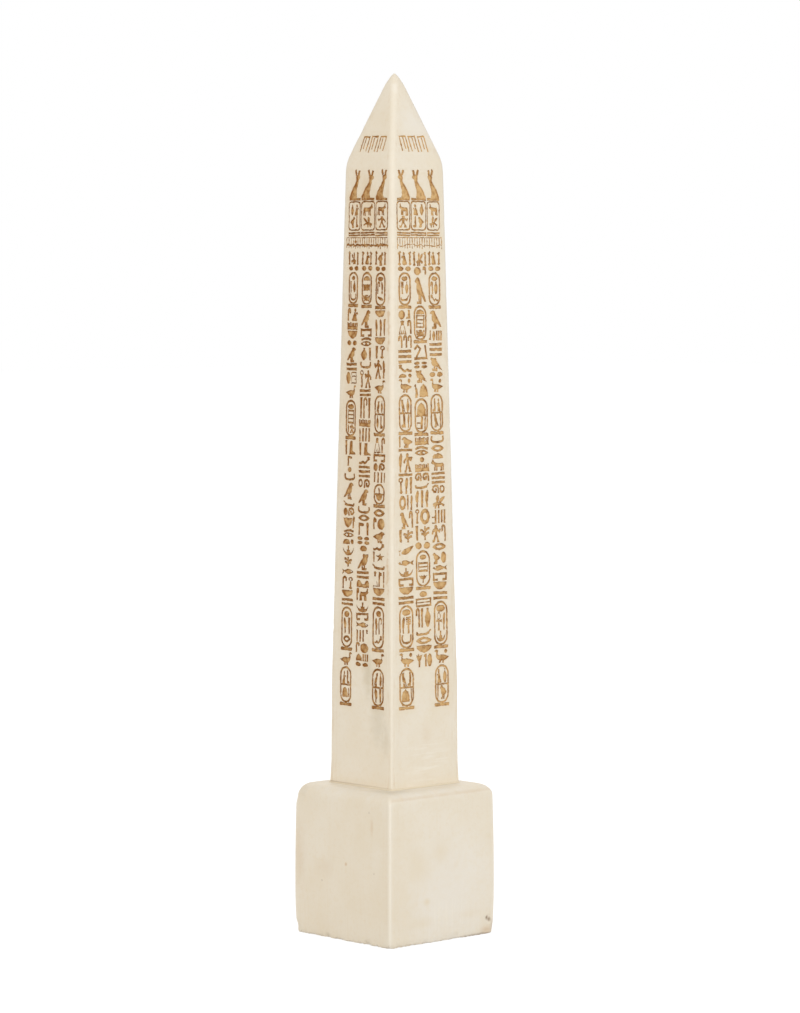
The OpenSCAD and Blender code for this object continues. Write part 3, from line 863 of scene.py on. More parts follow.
def build_shaft(sizes):
    """The shaft's skin: four carved sides, the arrises between them, the worn point and the flat foot."""
    profile = Profile(sizes)
    hand = random.Random(sizes.seed)
    depth_mm, slope = sizes.cut_depth / MM, sizes.cut_slope / MM
    rub = sizes.undulation / MM
    z = profile.station_z
    n = len(z)
    along = profile.along(z)
    skin = Skin("cut", "core", "signed", "tone", "brink", "worn")
    rights, lefts = [], []
    for side, (columns, looks_right, dark, column_width) in enumerate(FACES):
        shapes = draw_face(columns, looks_right, column_width, profile.half, hand)
        flat, triangles, (depth, middle, signed) = carve(profile, shapes, slope)
        across, height = flat.T
        lean = profile.lean(height)
        outward = quarter_turns(np.column_stack([0 * lean, -np.cos(lean), np.sin(lean)]), side)
        place = quarter_turns(np.column_stack([across, -profile.half(height), height]), side)
        sunk = depth * depth_mm * (0.8 + 0.3 * waves(place, DEPTH_WAVE))
        place -= outward * (sunk + rub * waves(place, RUB_WAVE))[:, None]
        # The outer quarter of a side is its brink, where the wash ran
        brink = np.clip(np.abs(across) / profile.flat(height) * 4 - 3, 0, 1)
        tone = dark - FAINT_RAKES * (height > RAKE_Z[0] - 1)
        ids = skin.add_points(place, cut=depth > 0, core=middle, signed=signed, tone=tone, brink=brink)
        layout = np.column_stack([across + SIDE_PITCH * side, profile.along(height)])
        skin.add_faces(ids[triangles], layout[triangles])
        rights.append(ids[:n])
        lefts.append(ids[n:2 * n])
    radius = profile.radius(z)
    flat = profile.flat(z)
    turns = np.radians(90 * np.arange(ARRIS_STEPS + 1) / ARRIS_STEPS)
    point_ring, foot_ring = [], []
    for side in range(4):
        rows = [rights[side]]
        for a in turns[1:-1]:
            facing = quarter_turns(np.array([[math.sin(a), -math.cos(a), 0.0]]), side)
            place = np.column_stack([flat + radius * math.sin(a), -flat - radius * math.cos(a), z])
            place = quarter_turns(place, side)
            # Arrises are knocked back a little here and there
            knocked = np.clip(waves(place, KNOCK_WAVE) - KNOCK_FROM, 0, 1) * KNOCK_DEPTH * math.sin(2 * a)
            place = place - facing * (rub * waves(place, RUB_WAVE) + knocked)[:, None]
            # The middle of each arris is marked worn: rubbed paler, and given a painted highlight
            rows.append(skin.add_points(place, worn=math.sin(2 * a) ** 2))
        rows.append(lefts[(side + 1) % 4])
        places = [np.column_stack([flat + radius * a + SIDE_PITCH * side, along]) for a in turns]
        for k in range(ARRIS_STEPS):
            a, b = rows[k:k + 2]
            here, there = places[k:k + 2]
            faces = np.column_stack([a[:-1], b[:-1], b[1:], a[1:]])
            skin.add_faces(faces, np.stack([here[:-1], there[:-1], there[1:], here[1:]], 1))
        point_ring += [row[-1] for row in rows]
        foot_ring += [row[0] for row in rows]
    close_point(skin, profile, point_ring, (SIDE_PITCH / 2, along[-1]))
    foot = np.array(foot_ring)
    plan = np.vstack(skin.points)[foot][:, :2]
    skin.add_faces([foot[::-1]], (plan * END_SCALE + (SIDE_PITCH * 1.5, along[-1] - 4))[::-1])
    return skin


def close_point(skin, profile, ring, layout_place):
    """Rings that close the shaft over its worn point, laid out as seen from above."""
    ring = np.array(ring)
    plan = np.vstack(skin.points)[ring][:, :2]
    for height, half, radius in profile.point:
        place, _ = square_ring(half, radius, height, np.array([-1.0, 1.0]), ARRIS_STEPS)
        place = np.roll(place, -1, 0)
        above, above_plan = skin.add_points(place, worn=POINT_WEAR), place[:, :2]
        places = looped(plan) + layout_place, looped(above_plan) + layout_place
        skin.add_band(looped(ring), looped(above), *places)
        ring, plan = above, above_plan
    skin.add_faces([ring], plan + layout_place)


def square_ring(half, radius, z, marks, steps):
    """Points round a square with rounded corners, turning left from the front, and the way each faces."""
    flat = half - radius
    corner = np.radians(90 * np.arange(1, steps) / steps)
    across = np.concatenate([marks * flat, flat + radius * np.sin(corner)])
    out = np.concatenate([np.full(len(marks), half), flat + radius * np.cos(corner)])
    facing = np.concatenate([0 * marks, corner])
    points = np.column_stack([across, -out, np.full(len(across), z)])
    ways = np.column_stack([np.sin(facing), -np.cos(facing), 0 * facing])
    return tuple(np.vstack([quarter_turns(v, side) for side in range(4)]) for v in (points, ways))


# Points along each side of the pedestal, flats round its arrises, and its girth in the flat layout
PEDESTAL_POINTS, PEDESTAL_CORNER = 121, 5
PEDESTAL_ROUND = 204
# How far in the rings of the underside lie, and the steps of the bottom and the top edge
UNDERSIDE_RINGS = (5.0, 2.6, 1.5)
BASE_STEPS, TOP_STEPS = 5, 10
# Height and ring gap of the chipped base, and how far up its crumbs go
CHIPPED_H, CHIPPED_STEP = 8.0, 0.7
CRUMB_H = 3.0
# How far the seat goes on under the shaft, the bed's smear and painted shade spread round the joint, and the
# arrises are rubbed and given a painted highlight
SEAT_RIM = 3.0
JOINT_SMEAR_AND_SHADE_REACH = 4.8
ARRIS_RUB_AND_HIGHLIGHT_REACH = 1.6
RIDGE_RISE = 0.06
# Shares and lengths of the waves in its rubbed sides
PEDESTAL_WAVES = ((0.7, 16.0), (0.3, 4.0))
# Nicks in the pedestal: place in millimetres, reach and depth
NICKS = (
    ((-25.1, 8.3, 0.4), 1.7, 0.5),
    ((-25.1, -13.0, 0.3), 2.2, 0.4),
    ((-25.0, -25.0, 0.0), 1.6, 0.3),
    ((25.2, -25.2, 0.8), 3.0, 0.25),
    ((22.0, -25.3, 6.0), 1.2, 0.5),
    ((23.3, -25.3, 5.2), 1.4, 0.6),
    ((7.0, -25.1, 0.2), 2.6, 0.4),
    ((25.2, 9.0, 0.3), 2.4, 0.6),
    ((-6.0, 25.2, 0.3), 2.8, 0.5),
    ((-25.2, 25.0, 2.2), 2.4, 0.6),
    ((-24.6, 24.6, 52.0), 5.0, 0.8),
)


def pedestal_rings(sizes):
    """Rings up the pedestal, as (half side, corner radius, height, rise of the surface's outward way)."""
    mm = in_mm(sizes)
    top_z = PEDESTAL_BOX[1].z / MM
    edge_z = top_z - mm["top_fall"] - mm["top_r"]

    def side(z):
        if z < mm["belly_z"]:
            return mm["belly_w"] - (mm["belly_w"] - mm["foot_w"]) * (1 - z / mm["belly_z"]) ** 2
        above = (z - mm["belly_z"]) / (edge_z - mm["belly_z"])
        return mm["belly_w"] - (mm["belly_w"] - mm["top_w"]) * above ** 2

    base_half, r = side(mm["base_r"]) / 2, mm["base_r"]
    rings = [(base_half - reach, mm["arris_r"], 0.0, -1.0) for reach in UNDERSIDE_RINGS]
    for i in range(BASE_STEPS):
        a = math.radians(90 * i / BASE_STEPS)
        rings.append((base_half - r * (1 - math.sin(a)), mm["arris_r"], r * (1 - math.cos(a)), -math.cos(a)))
    # Rings close together where the base is chipped and under the rounded edge, and wider apart between
    heights = np.concatenate([np.arange(r, CHIPPED_H, CHIPPED_STEP), np.linspace(CHIPPED_H, edge_z - 1.6, 20),
                              edge_z - np.array([1.2, 0.8, 0.4])])
    rings += [(side(z) / 2, mm["arris_r"], z, 0.0) for z in heights]
    for i in range(TOP_STEPS + 1):
        a = math.radians(90 * i / TOP_STEPS)
        rings.append((mm["top_w"] / 2 - mm["top_r"] * (1 - math.cos(a)),
                      mm["arris_r"] + (mm["top_corner_r"] - mm["arris_r"]) * math.sin(a),
                      edge_z + mm["top_r"] * math.sin(a), math.sin(a)))
    rim = rings[-1][0]
    seat = (SHAFT_BOX[1].x - SHAFT_BOX[0].x) / MM / 2
    for share in (0.25, 0.5, 0.75, 1.0):
        height = top_z - mm["top_fall"] * (1 - share)
        rings.append((rim + (seat - rim) * share, mm["top_corner_r"], height, 1.0))
    rings.append((seat - SEAT_RIM, mm["top_corner_r"], top_z, 1.0))
    return rings


def build_pedestal(sizes):
    """The pedestal's skin: worn and chipped base, bellied sides, rounded top edge and the seat of the bed."""
    chip, rub = sizes.chip / MM, sizes.undulation / MM
    top_z = PEDESTAL_BOX[1].z / MM
    seat = SHAFT_BOX[1].x / MM
    marks = np.linspace(-1, 1, PEDESTAL_POINTS)
    ridge_z = top_z - (sizes.top_fall + sizes.top_r * 0.5) / MM
    skin = Skin("chipped", "joint", "ridge", "worn")
    low, low_place, run = None, None, 0.0
    last = None
    for half, radius, z, rise in pedestal_rings(sizes):
        plain, ways = square_ring(half, radius, z, marks, PEDESTAL_CORNER)
        level = math.sqrt(max(0.0, 1 - rise * rise))
        outward = ways * level + np.array([0, 0, rise])
        # Only the sides wave: the underside and the seat stay flat
        sides = 0.0 < z < top_z - 0.3
        rubbed = rub * sum(share * waves(plain, size) for share, size in PEDESTAL_WAVES)
        place = plain - outward * rubbed[:, None] * sides
        # A faint ridge on the front where the sanding of the top edge stopped
        front = np.clip(-ways[:, 1] * 4 - 3, 0, 1)
        ridge = front * math.exp(-((z - ridge_z) / 0.4) ** 2) * (0.4 + waves(plain, 5.0))
        place = place + outward * (ridge * RIDGE_RISE)[:, None]
        chipped = np.zeros(len(plain))
        if z < CRUMB_H:
            # The bottom edge broke away in large and small crumbs, less so up the sides and under the block:
            # pushed in, and lifted off the table
            crumb = np.clip(0.9 * waves(plain, 4.0) + 1.7 * waves(plain + 40, 0.6) - 0.95, 0, 1)
            fade = (1 - z / CRUMB_H) ** 2 * min(1.0, (half - 20.5) / 3.5) ** 2
            place = place - ways * (crumb * fade * chip)[:, None]
            place[:, 2] += crumb * fade * chip * 0.9
            chipped += crumb * fade
        for spot, reach, depth in NICKS:
            far = np.linalg.norm(plain - spot, axis=1) / reach
            bite = np.clip(1 - far, 0, 1) ** 0.7
            place = place - ways * (bite * depth)[:, None]
            place[:, 2] += bite * depth * 0.5 * (z < 1.0)
            chipped = np.maximum(chipped, bite)
        # Near the shaft's foot: a smear of bed plaster, and painted shade in the joint
        near = 1.0 if half < seat + 0.05 else max(0.0, 1 - (half - seat) / JOINT_SMEAR_AND_SHADE_REACH)
        # Worn marks a band along each upright arris: rubbed paler, and given a painted highlight
        from_arris = half - np.abs(plain[:, :2]).min(1)
        worn = np.clip(1 - from_arris / ARRIS_RUB_AND_HIGHLIGHT_REACH, 0, 1) * (1 - max(rise, 0.0))
        chipped, joint = np.clip(chipped, 0, 1), near * (z > top_z - 1)
        ids = skin.add_points(place, chipped=chipped, joint=joint, ridge=ridge, worn=worn)
        if last is not None:
            run += math.hypot(half - last[0], z - last[1])
        count = len(ids) + 1
        row = np.column_stack([np.linspace(0, PEDESTAL_ROUND, count), np.full(count, run)])
        if low is None:
            skin.add_faces([ids[::-1]], (plain[:, :2] * END_SCALE + (-8, 10))[::-1])
        else:
            skin.add_band(looped(low), looped(ids), low_place, row)
        low, low_place, last = ids, row, (half, z)
    skin.add_faces([low], plain[:, :2] * END_SCALE + (-8, 25))
    return skin


BED_POINTS = 61
BED_CORNER = 0.8
# Rings of the bed's fillet: how far each is squeezed out, and its share of the bed's thickness
BED_FILLET = ((0.75, 0.0), (0.35, 0.4), (0.12, 0.8), (0.02, 1.0))
BED_ROUND = 40
BED_END_SCALE = 0.3


def build_bed():
    """The bed's skin: a thin ragged layer, squeezed out in a small fillet round the shaft's foot."""
    low_z, high_z = BED_BOX[0].z / MM, BED_BOX[1].z / MM
    half, shaft_half = BED_BOX[1].x / MM, SHAFT_BOX[1].x / MM
    marks = np.linspace(-1, 1, BED_POINTS)
    skin = Skin("dirty")
    low, low_place = None, None
    for i, (step, share) in enumerate(BED_FILLET):
        plain, ways = square_ring(half, BED_CORNER, low_z + (high_z - low_z) * share, marks, 4)
        out = shaft_half - half + step * (0.75 + 0.5 * waves(plain * (1, 1, 0), 2.5))
        # The joint's dirt gathered on the left side, away from the front corner
        dirty = np.clip(-ways[:, 0], 0, 1) * np.clip(0.35 + 0.65 * plain[:, 1] / half, 0, 1) * share ** 2
        ids = skin.add_points(plain + ways * out[:, None], dirty=dirty)
        count = len(ids) + 1
        row = np.column_stack([np.linspace(0, BED_ROUND, count), np.full(count, 4.0 * i)])
        if low is None:
            skin.add_faces([ids[::-1]], (plain[:, :2] * BED_END_SCALE + (-12, 6))[::-1])
        else:
            skin.add_band(looped(low), looped(ids), low_place, row)
        low, low_place = ids, row
    skin.add_faces([low], plain[:, :2] * BED_END_SCALE + (-24, 6))
    return skin


# Sockets of the Mix node for colours, which share their names with its other kinds
MIX_A, MIX_B, MIX_OUT = 6, 7, 2
# Refractive index of the wax-rubbed castings and of bare gypsum
CASTING_IOR, BARE_IOR = 1.45, 1.5


def add(tree, kind, inputs=None, **settings):
    """Adds a node: its settings, then its inputs, each a value or a (node, output) pair to link from."""
    made = tree.nodes.new(kind)
    for key, value in settings.items():
        setattr(made, key, value)
    for key, value in (inputs or {}).items():
        if isinstance(value, tuple) and isinstance(value[0], bpy.types.Node):
            tree.links.new(value[0].outputs[value[1]], made.inputs[key])
        else:
            made.inputs[key].default_value = value
    return made


def empty_tree(owner):
    """The node tree of a material or a world, with nothing in it."""
    owner.use_nodes = True
    owner.node_tree.nodes.clear()
    return owner.node_tree


def new_material(name):
    """An empty node material, its node tree, and the socket of the object's own coordinates."""
    material = bpy.data.materials.new(name)
    tree = empty_tree(material)
    return material, tree, (add(tree, "ShaderNodeTexCoord"), "Object")


def per(size_mm):
    """Texture scale at which a pattern's feature is about that many millimetres."""
    return 1.0 / (size_mm * MM)


def patches(tree, place, scale, detail, low, high):
    """Noise as a mask: a socket that is 0 where the noise is below the one level and 1 above the other."""
    made = add(tree, "ShaderNodeTexNoise", {"Vector": place, "Scale": scale, "Detail": detail})
    levels = {"Value": (made, "Fac"), "From Min": low, "From Max": high}
    return add(tree, "ShaderNodeMapRange", levels), "Result"


def blot(tree, place, centre_mm, radii_mm, ragged=0.7):
    """A soft blot on the object: a socket that is 1 in its middle and 0 past its ragged edge."""
    local = add(tree, "ShaderNodeMapping", {"Vector": place, "Location": [c * MM for c in centre_mm],
                                            "Scale": [r * MM for r in radii_mm]}, vector_type="TEXTURE")
    far = add(tree, "ShaderNodeVectorMath", {0: (local, "Vector")}, operation="LENGTH")
    grain = add(tree, "ShaderNodeTexNoise", {"Vector": place, "Scale": per(2.2), "Detail": 3.0})
    edge = add(tree, "ShaderNodeMath", {0: (grain, "Fac"), 1: ragged, 2: (far, "Value")},
               operation="MULTIPLY_ADD")
    levels = {"Value": (edge, "Value"), "From Min": ragged / 2, "From Max": 1 + ragged / 2,
              "To Min": 1.0, "To Max": 0.0}
    return add(tree, "ShaderNodeMapRange", levels, interpolation_type="SMOOTHSTEP"), "Result"


def lay_over(tree, below, mask, top_colour, most):
    """Lays a colour over the one below where the mask says, up to the given strength: the result's socket."""
    share = add(tree, "ShaderNodeMath", {0: mask, 1: most}, operation="MULTIPLY", use_clamp=True)
    layers = {0: (share, "Value"), MIX_A: below, MIX_B: tuple(top_colour)}
    return add(tree, "ShaderNodeMix", layers, data_type="RGBA"), MIX_OUT


def lay_where(tree, below, label, top_colour, most):
    """Lays a colour over the one below where the mesh's own number of that name says."""
    painted = add(tree, "ShaderNodeAttribute", attribute_name=label)
    return lay_over(tree, below, (painted, "Fac"), top_colour, most)


def lay_marks(tree, place, below, colours, marks, ragged=0.7):
    """Lays one blot of colour after another over the one below."""
    for centre, radii, tint, most in marks:
        below = lay_over(tree, below, blot(tree, place, centre, radii, ragged), getattr(colours, tint), most)
    return below


def surface(tree, skin, roughness, bump, ior):
    """The shader that ends a plaster material, and its output."""
    shader = add(tree, "ShaderNodeBsdfPrincipled", {"Base Color": skin, "Roughness": (roughness, "Result"),
                                                    "Normal": (bump, "Normal"), "IOR": ior})
    add(tree, "ShaderNodeOutputMaterial", {"Surface": (shader, "BSDF")})


def plaster_ground(tree, place, colours):
    """The plaster itself, for every cast piece: clouds where the tint soaked in, and fine flecks."""
    soaked = patches(tree, place, per(16), 4.0, 0.36, 0.68)
    ground = lay_over(tree, tuple(colours.plaster), soaked, colours.plaster_warm, 0.45)
    flecks = patches(tree, place, per(1.3), 3.0, 0.5, 0.75)
    return lay_over(tree, ground, flecks, colours.plaster_warm, 0.4)


# Marks on the shaft: middle and radii in millimetres, colour, strength
SHAFT_MARKS = (
    ((-16.0, -3.6, 95), (3, 3.8, 13), "smudge_and_shade", 0.42),
    ((-16.2, -8.8, 79), (3, 5.5, 14), "smudge_and_shade", 0.32),
    ((-16.2, -13.2, 72), (3, 3.2, 9), "smudge_and_shade", 0.25),
    ((-12.9, 1.3, 267.5), (3, 5, 6), "stain", 0.18),
    ((-13.2, 1.0, 258), (4, 14, 20), "plaster_warm", 0.9),
    ((-14.0, 2.0, 190), (5, 26, 140), "stain", 0.13),
    ((-13.0, 0.0, 257), (4, 13, 14), "stain", 0.11),
    ((3.0, -9.0, 290), (14, 7, 17), "dust", 0.45),
    ((0.5, -16.2, 73), (4, 3, 5), "stain", 0.1),
    ((-2.5, -3.0, 303), (2, 2.4, 4), "rubbed_plaster_and_highlight", 0.8),
)
# Ochre flecks beside the front arris
OCHRE_FLECKS = (
    ((-13.8, -11.9, 222), (3, 0.9, 14), "stain", 0.4),
    ((-15.4, -13.2, 131), (3, 0.9, 9), "stain", 0.4),
)


def shaft_plaster(colours):
    """Cast plaster, tinted ivory and waxed: a soft satin, with gold-brown paint wiped into the signs, painted
    shade on their walls and a painted highlight along the arrises.
    """
    material, tree, place = new_material("waxed_ivory_plaster_with_gilt_signs")
    skin = plaster_ground(tree, place, colours)
    skin = lay_where(tree, skin, "signed", colours.plaster_warm, 0.5)
    # Old wash ran down beside the arrises in thin streaks
    runs = add(tree, "ShaderNodeMapping", {"Vector": place, "Scale": (per(0.9), per(0.9), per(9))})
    thin = patches(tree, (runs, "Vector"), 1.0, 2.0, 0.5, 0.7)
    brink = add(tree, "ShaderNodeAttribute", attribute_name="brink")
    streaks = add(tree, "ShaderNodeMath", {0: thin, 1: (brink, "Fac")}, operation="MULTIPLY")
    skin = lay_over(tree, skin, (streaks, "Value"), colours.stain, 0.17)
    # Level brush marks of a paler wash, near the foot
    strokes = add(tree, "ShaderNodeMapping", {"Vector": place, "Scale": (per(14), per(14), per(1.4))})
    brushed = patches(tree, (strokes, "Vector"), 1.0, 3.0, 0.49, 0.64)
    washed = blot(tree, place, (1, -17, 64), (16, 4, 12))
    pale = add(tree, "ShaderNodeMath", {0: brushed, 1: washed}, operation="MULTIPLY")
    skin = lay_over(tree, skin, (pale, "Value"), colours.rubbed_plaster_and_highlight, 0.8)
    # Arrises paler where marked worn: rubbed plaster, and a painted highlight
    skin = lay_where(tree, skin, "worn", colours.rubbed_plaster_and_highlight, 0.3)
    skin = lay_marks(tree, place, skin, colours, SHAFT_MARKS)
    skin = lay_marks(tree, place, skin, colours, OCHRE_FLECKS, 3.0)
    # Dirt that settled along the foot, on the left side
    axes = add(tree, "ShaderNodeSeparateXYZ", {"Vector": place})
    foot_z, left_x = SHAFT_BOX[0].z, SHAFT_BOX[0].x
    low = add(tree, "ShaderNodeMapRange", {"Value": (axes, "Z"), "From Min": foot_z + 0.05 * MM,
                                           "From Max": foot_z + 0.4 * MM, "To Min": 1.0, "To Max": 0.0})
    left = add(tree, "ShaderNodeMapRange", {"Value": (axes, "X"), "From Min": left_x * 0.97,
                                            "From Max": left_x})
    low = add(tree, "ShaderNodeMath", {0: (low, "Result"), 1: (left, "Result")}, operation="MULTIPLY")
    skin = lay_over(tree, skin, (low, "Value"), colours.dirt, 0.25)
    # Paint: golden in the middle of wide floors, brown where it lies thick along walls and in narrow strokes;
    # the darker walls also carry painted shade, as in a recess
    cut, core, tone = (add(tree, "ShaderNodeAttribute", attribute_name=n) for n in ("cut", "core", "tone"))
    wiped = add(tree, "ShaderNodeTexNoise", {"Vector": place, "Scale": per(1.8), "Detail": 3.0})
    pool_and_shade = add(tree, "ShaderNodeMath", {0: (core, "Fac"), 1: -0.3, 2: (tone, "Fac")},
                 operation="MULTIPLY_ADD")
    # Painted shade on the sign walls, added to the thick paint's darkening there
    wall = add(tree, "ShaderNodeMapRange", {"Value": (cut, "Fac"), "From Min": 0.5, "From Max": 1.0,
                                            "To Min": 0.2, "To Max": 0.0})
    pool_and_shade = add(tree, "ShaderNodeMath", {0: (pool_and_shade, "Value"), 1: (wall, "Result")}, operation="ADD")
    thick = add(tree, "ShaderNodeMath", {0: (wiped, "Fac"), 1: 3.8, 2: (pool_and_shade, "Value")},
                operation="MULTIPLY_ADD")
    thick = add(tree, "ShaderNodeMapRange", {"Value": (thick, "Value"), "From Min": 1.5, "From Max": 2.75})
    paint = add(tree, "ShaderNodeMix", {0: (thick, "Result"), MIX_A: tuple(colours.paint),
                                        MIX_B: tuple(colours.paint_dark)}, data_type="RGBA")
    covered = add(tree, "ShaderNodeMapRange", {"Value": (cut, "Fac"), "From Min": 0.02, "From Max": 0.5})
    skin = add(tree, "ShaderNodeMix", {0: (covered, "Result"), MIX_A: skin, MIX_B: (paint, MIX_OUT)},
               data_type="RGBA")
    # Casting grain, about twice as coarse as the real 0.2 mm so that it shows
    grain = add(tree, "ShaderNodeTexNoise", {"Vector": place, "Scale": per(0.45), "Detail": 2.0})
    bump = add(tree, "ShaderNodeBump", {"Height": (grain, "Fac"), "Strength": 0.25, "Distance": 0.05 * MM})
    satin = add(tree, "ShaderNodeMapRange", {"Value": (wiped, "Fac"), "To Min": 0.46, "To Max": 0.66})
    surface(tree, (skin, MIX_OUT), satin, bump, CASTING_IOR)
    return material


# Marks on the pedestal, in the same terms
PEDESTAL_MARKS = (
    ((4.0, -25.4, 16), (32, 3, 34), "dust", 0.55),
    ((0.0, 0.0, 56.0), (50, 50, 8), "dust", 0.7),
    ((-25.4, 8.9, 25.0), (3, 7, 5), "stain", 0.09),
    ((-25.4, -2.3, 27.7), (3, 0.9, 0.9), "stain", 0.5),
    ((-25.4, 23.0, 29), (3, 5, 16), "stain", 0.16),
    ((-25.2, -15.8, 42.1), (3, 1.2, 4), "stain", 0.22),
    ((-25.1, -14.2, 47.2), (3, 0.7, 0.8), "dirt", 0.25),
    ((-25.5, 10.5, 20.5), (3, 0.6, 0.6), "dirt", 0.35),
    ((-25.4, -17.1, 25.9), (3, 0.6, 0.7), "dirt", 0.3),
    ((-12.0, -25.4, 28.3), (8, 3, 9), "plaster_warm", 0.5),
    ((-0.8, -25.3, 32.1), (6, 3, 6), "plaster_warm", 0.4),
    ((-7.7, -25.4, 15.0), (2.4, 3, 2), "plaster_warm", 0.8),
    ((-11.0, -25.3, 7.6), (9, 3, 3.5), "plaster_warm", 0.45),
    ((13.0, -25.3, 8.5), (8, 3, 2.5), "plaster_warm", 0.35),
    ((17.0, -25.1, 0.1), (12, 4, 1.2), "dirt", 0.5),
    ((21.8, -25.1, 1.6), (5, 4, 2.6), "stain", 0.35),
    ((22.0, -25.2, 6.0), (1.0, 3, 1.3), "dirt", 0.8),
    ((23.2, -25.2, 5.2), (1.2, 3, 1.2), "dirt", 0.7),
    ((24.8, -25.0, 3.2), (1.6, 3, 4), "dirt", 0.3),
    # Painted shade of the shaft on the pedestal's top at its front corner, in the smudge grey
    ((-19.2, -15.5, 54.1), (4.2, 8.5, 2.5), "smudge_and_shade", 0.24),
    ((-15.5, -19.2, 54.1), (8.5, 4.2, 2.5), "smudge_and_shade", 0.24),
)


def pedestal_plaster(colours):
    """The same plaster, sanded by hand: matte, with upright scratches, stains and specks of dirt; painted
    highlights on the arrises and painted shade round the shaft's foot.
    """
    material, tree, place = new_material("sanded_ivory_plaster")
    skin = plaster_ground(tree, place, colours)
    upright = add(tree, "ShaderNodeMapping", {"Vector": place, "Scale": (per(0.8), per(0.8), per(18))})
    sanding = add(tree, "ShaderNodeTexNoise", {"Vector": (upright, "Vector"), "Scale": 1.0, "Detail": 3.0})
    scratches = (sanding, "Fac")
    deep = add(tree, "ShaderNodeMapRange", {"Value": scratches, "From Min": 0.56, "From Max": 0.72})
    skin = lay_over(tree, skin, (deep, "Result"), colours.plaster_warm, 0.2)
    # Painted highlight along the upright arrises, over their rubbing
    skin = lay_where(tree, skin, "worn", colours.rubbed_plaster_and_highlight, 0.9)
    skin = lay_marks(tree, place, skin, colours, PEDESTAL_MARKS)
    # Paler strokes of the sanding, low on the front
    pale = add(tree, "ShaderNodeMapRange", {"Value": scratches, "From Min": 0.5, "From Max": 0.36})
    sanded = blot(tree, place, (3.0, -25.3, 9), (22, 3, 10))
    pale = add(tree, "ShaderNodeMath", {0: (pale, "Result"), 1: sanded}, operation="MULTIPLY")
    skin = lay_over(tree, skin, (pale, "Value"), colours.rubbed_plaster_and_highlight, 0.45)
    skin = lay_where(tree, skin, "ridge", colours.stain, 0.22)
    skin = lay_where(tree, skin, "chipped", colours.dirt, 0.04)
    # A darker band round the shaft's foot: smeared bed plaster and painted shade
    joint = add(tree, "ShaderNodeAttribute", attribute_name="joint")
    close = add(tree, "ShaderNodeMapRange", {"Value": (joint, "Fac"), "From Min": 0.72, "From Max": 1.0})
    skin = lay_over(tree, skin, (close, "Result"), colours.bed, 0.3)
    # Grain and scratches; the grain is drawn about twice as coarse as the real 0.2 mm so that it shows
    grain = add(tree, "ShaderNodeTexNoise", {"Vector": place, "Scale": per(0.5), "Detail": 2.0})
    height = add(tree, "ShaderNodeMath", {0: scratches, 1: 0.8, 2: (grain, "Fac")}, operation="MULTIPLY_ADD")
    bump = add(tree, "ShaderNodeBump", {"Height": (height, "Value"), "Strength": 0.3, "Distance": 0.06 * MM})
    dry = add(tree, "ShaderNodeMapRange", {"Value": scratches, "To Min": 0.5, "To Max": 0.75})
    surface(tree, skin, dry, bump, CASTING_IOR)
    return material


def bed_plaster(colours):
    """Setting plaster, smeared by finger: dull, warmer than the castings, with brown dirt in its edge."""
    material, tree, place = new_material("smeared_setting_plaster")
    mottle = add(tree, "ShaderNodeTexNoise", {"Vector": place, "Scale": per(2.5), "Detail": 4.0})
    skin = lay_over(tree, tuple(colours.bed), (mottle, "Fac"), colours.plaster_warm, 0.8)
    skin = lay_where(tree, skin, "dirty", colours.dirt, 0.5)
    bump = add(tree, "ShaderNodeBump", {"Height": (mottle, "Fac"), "Strength": 0.4, "Distance": 0.1 * MM})
    dull = add(tree, "ShaderNodeMapRange", {"Value": (mottle, "Fac"), "To Min": 0.75, "To Max": 0.95})
    surface(tree, skin, dull, bump, BARE_IOR)
    return material


# The floor as the camera sees it: a glow that makes it white, and a grey that takes the shadow
SHADED_PAPER = srgb("#b3b3b3")
PAPER_GLOW = 0.74


def table_top(stage):
    """Matte white paper: the camera sees it as white, with the object's soft shadow on it."""
    material = bpy.data.materials.new("white_paper_floor")
    tree = empty_tree(material)
    rays = add(tree, "ShaderNodeLightPath")
    seen = add(tree, "ShaderNodeMath", {0: (rays, "Is Camera Ray"), 1: (rays, "Is Glossy Ray")},
               operation="MAXIMUM")
    seen = add(tree, "ShaderNodeMath", {0: (seen, "Value"), 1: (rays, "Is Transmission Ray")},
               operation="MAXIMUM")
    paper = add(tree, "ShaderNodeBsdfDiffuse", {"Color": tuple(stage.floor)})
    shaded = add(tree, "ShaderNodeBsdfDiffuse", {"Color": SHADED_PAPER})
    glow = add(tree, "ShaderNodeEmission", {"Strength": PAPER_GLOW})
    bright = add(tree, "ShaderNodeAddShader", {0: (shaded, "BSDF"), 1: (glow, "Emission")})
    both = add(tree, "ShaderNodeMixShader", {0: (seen, "Value"), 1: (paper, "BSDF"), 2: (bright, "Shader")})
    add(tree, "ShaderNodeOutputMaterial", {"Surface": (both, "Shader")})
    return material


def studio_world(stage):
    """Even soft light from all round; the camera sees plain white behind the object."""
    world = bpy.data.worlds.new("white_studio")
    tree = empty_tree(world)
    rays = add(tree, "ShaderNodeLightPath")
    seen = add(tree, "ShaderNodeMath", {0: (rays, "Is Camera Ray"), 1: (rays, "Is Transmission Ray")},
               operation="MAXIMUM")
    tent = add(tree, "ShaderNodeBackground", {"Color": tuple(stage.tent), "Strength": stage.tent_strength})
    white = add(tree, "ShaderNodeBackground", {"Color": srgb("#ffffff"), "Strength": 1.0})
    both = add(tree, "ShaderNodeMixShader", {0: (seen, "Value"), 1: (tent, "Background"),
                                             2: (white, "Background")})
    add(tree, "ShaderNodeOutputWorld", {"Surface": (both, "Shader")})
    return world


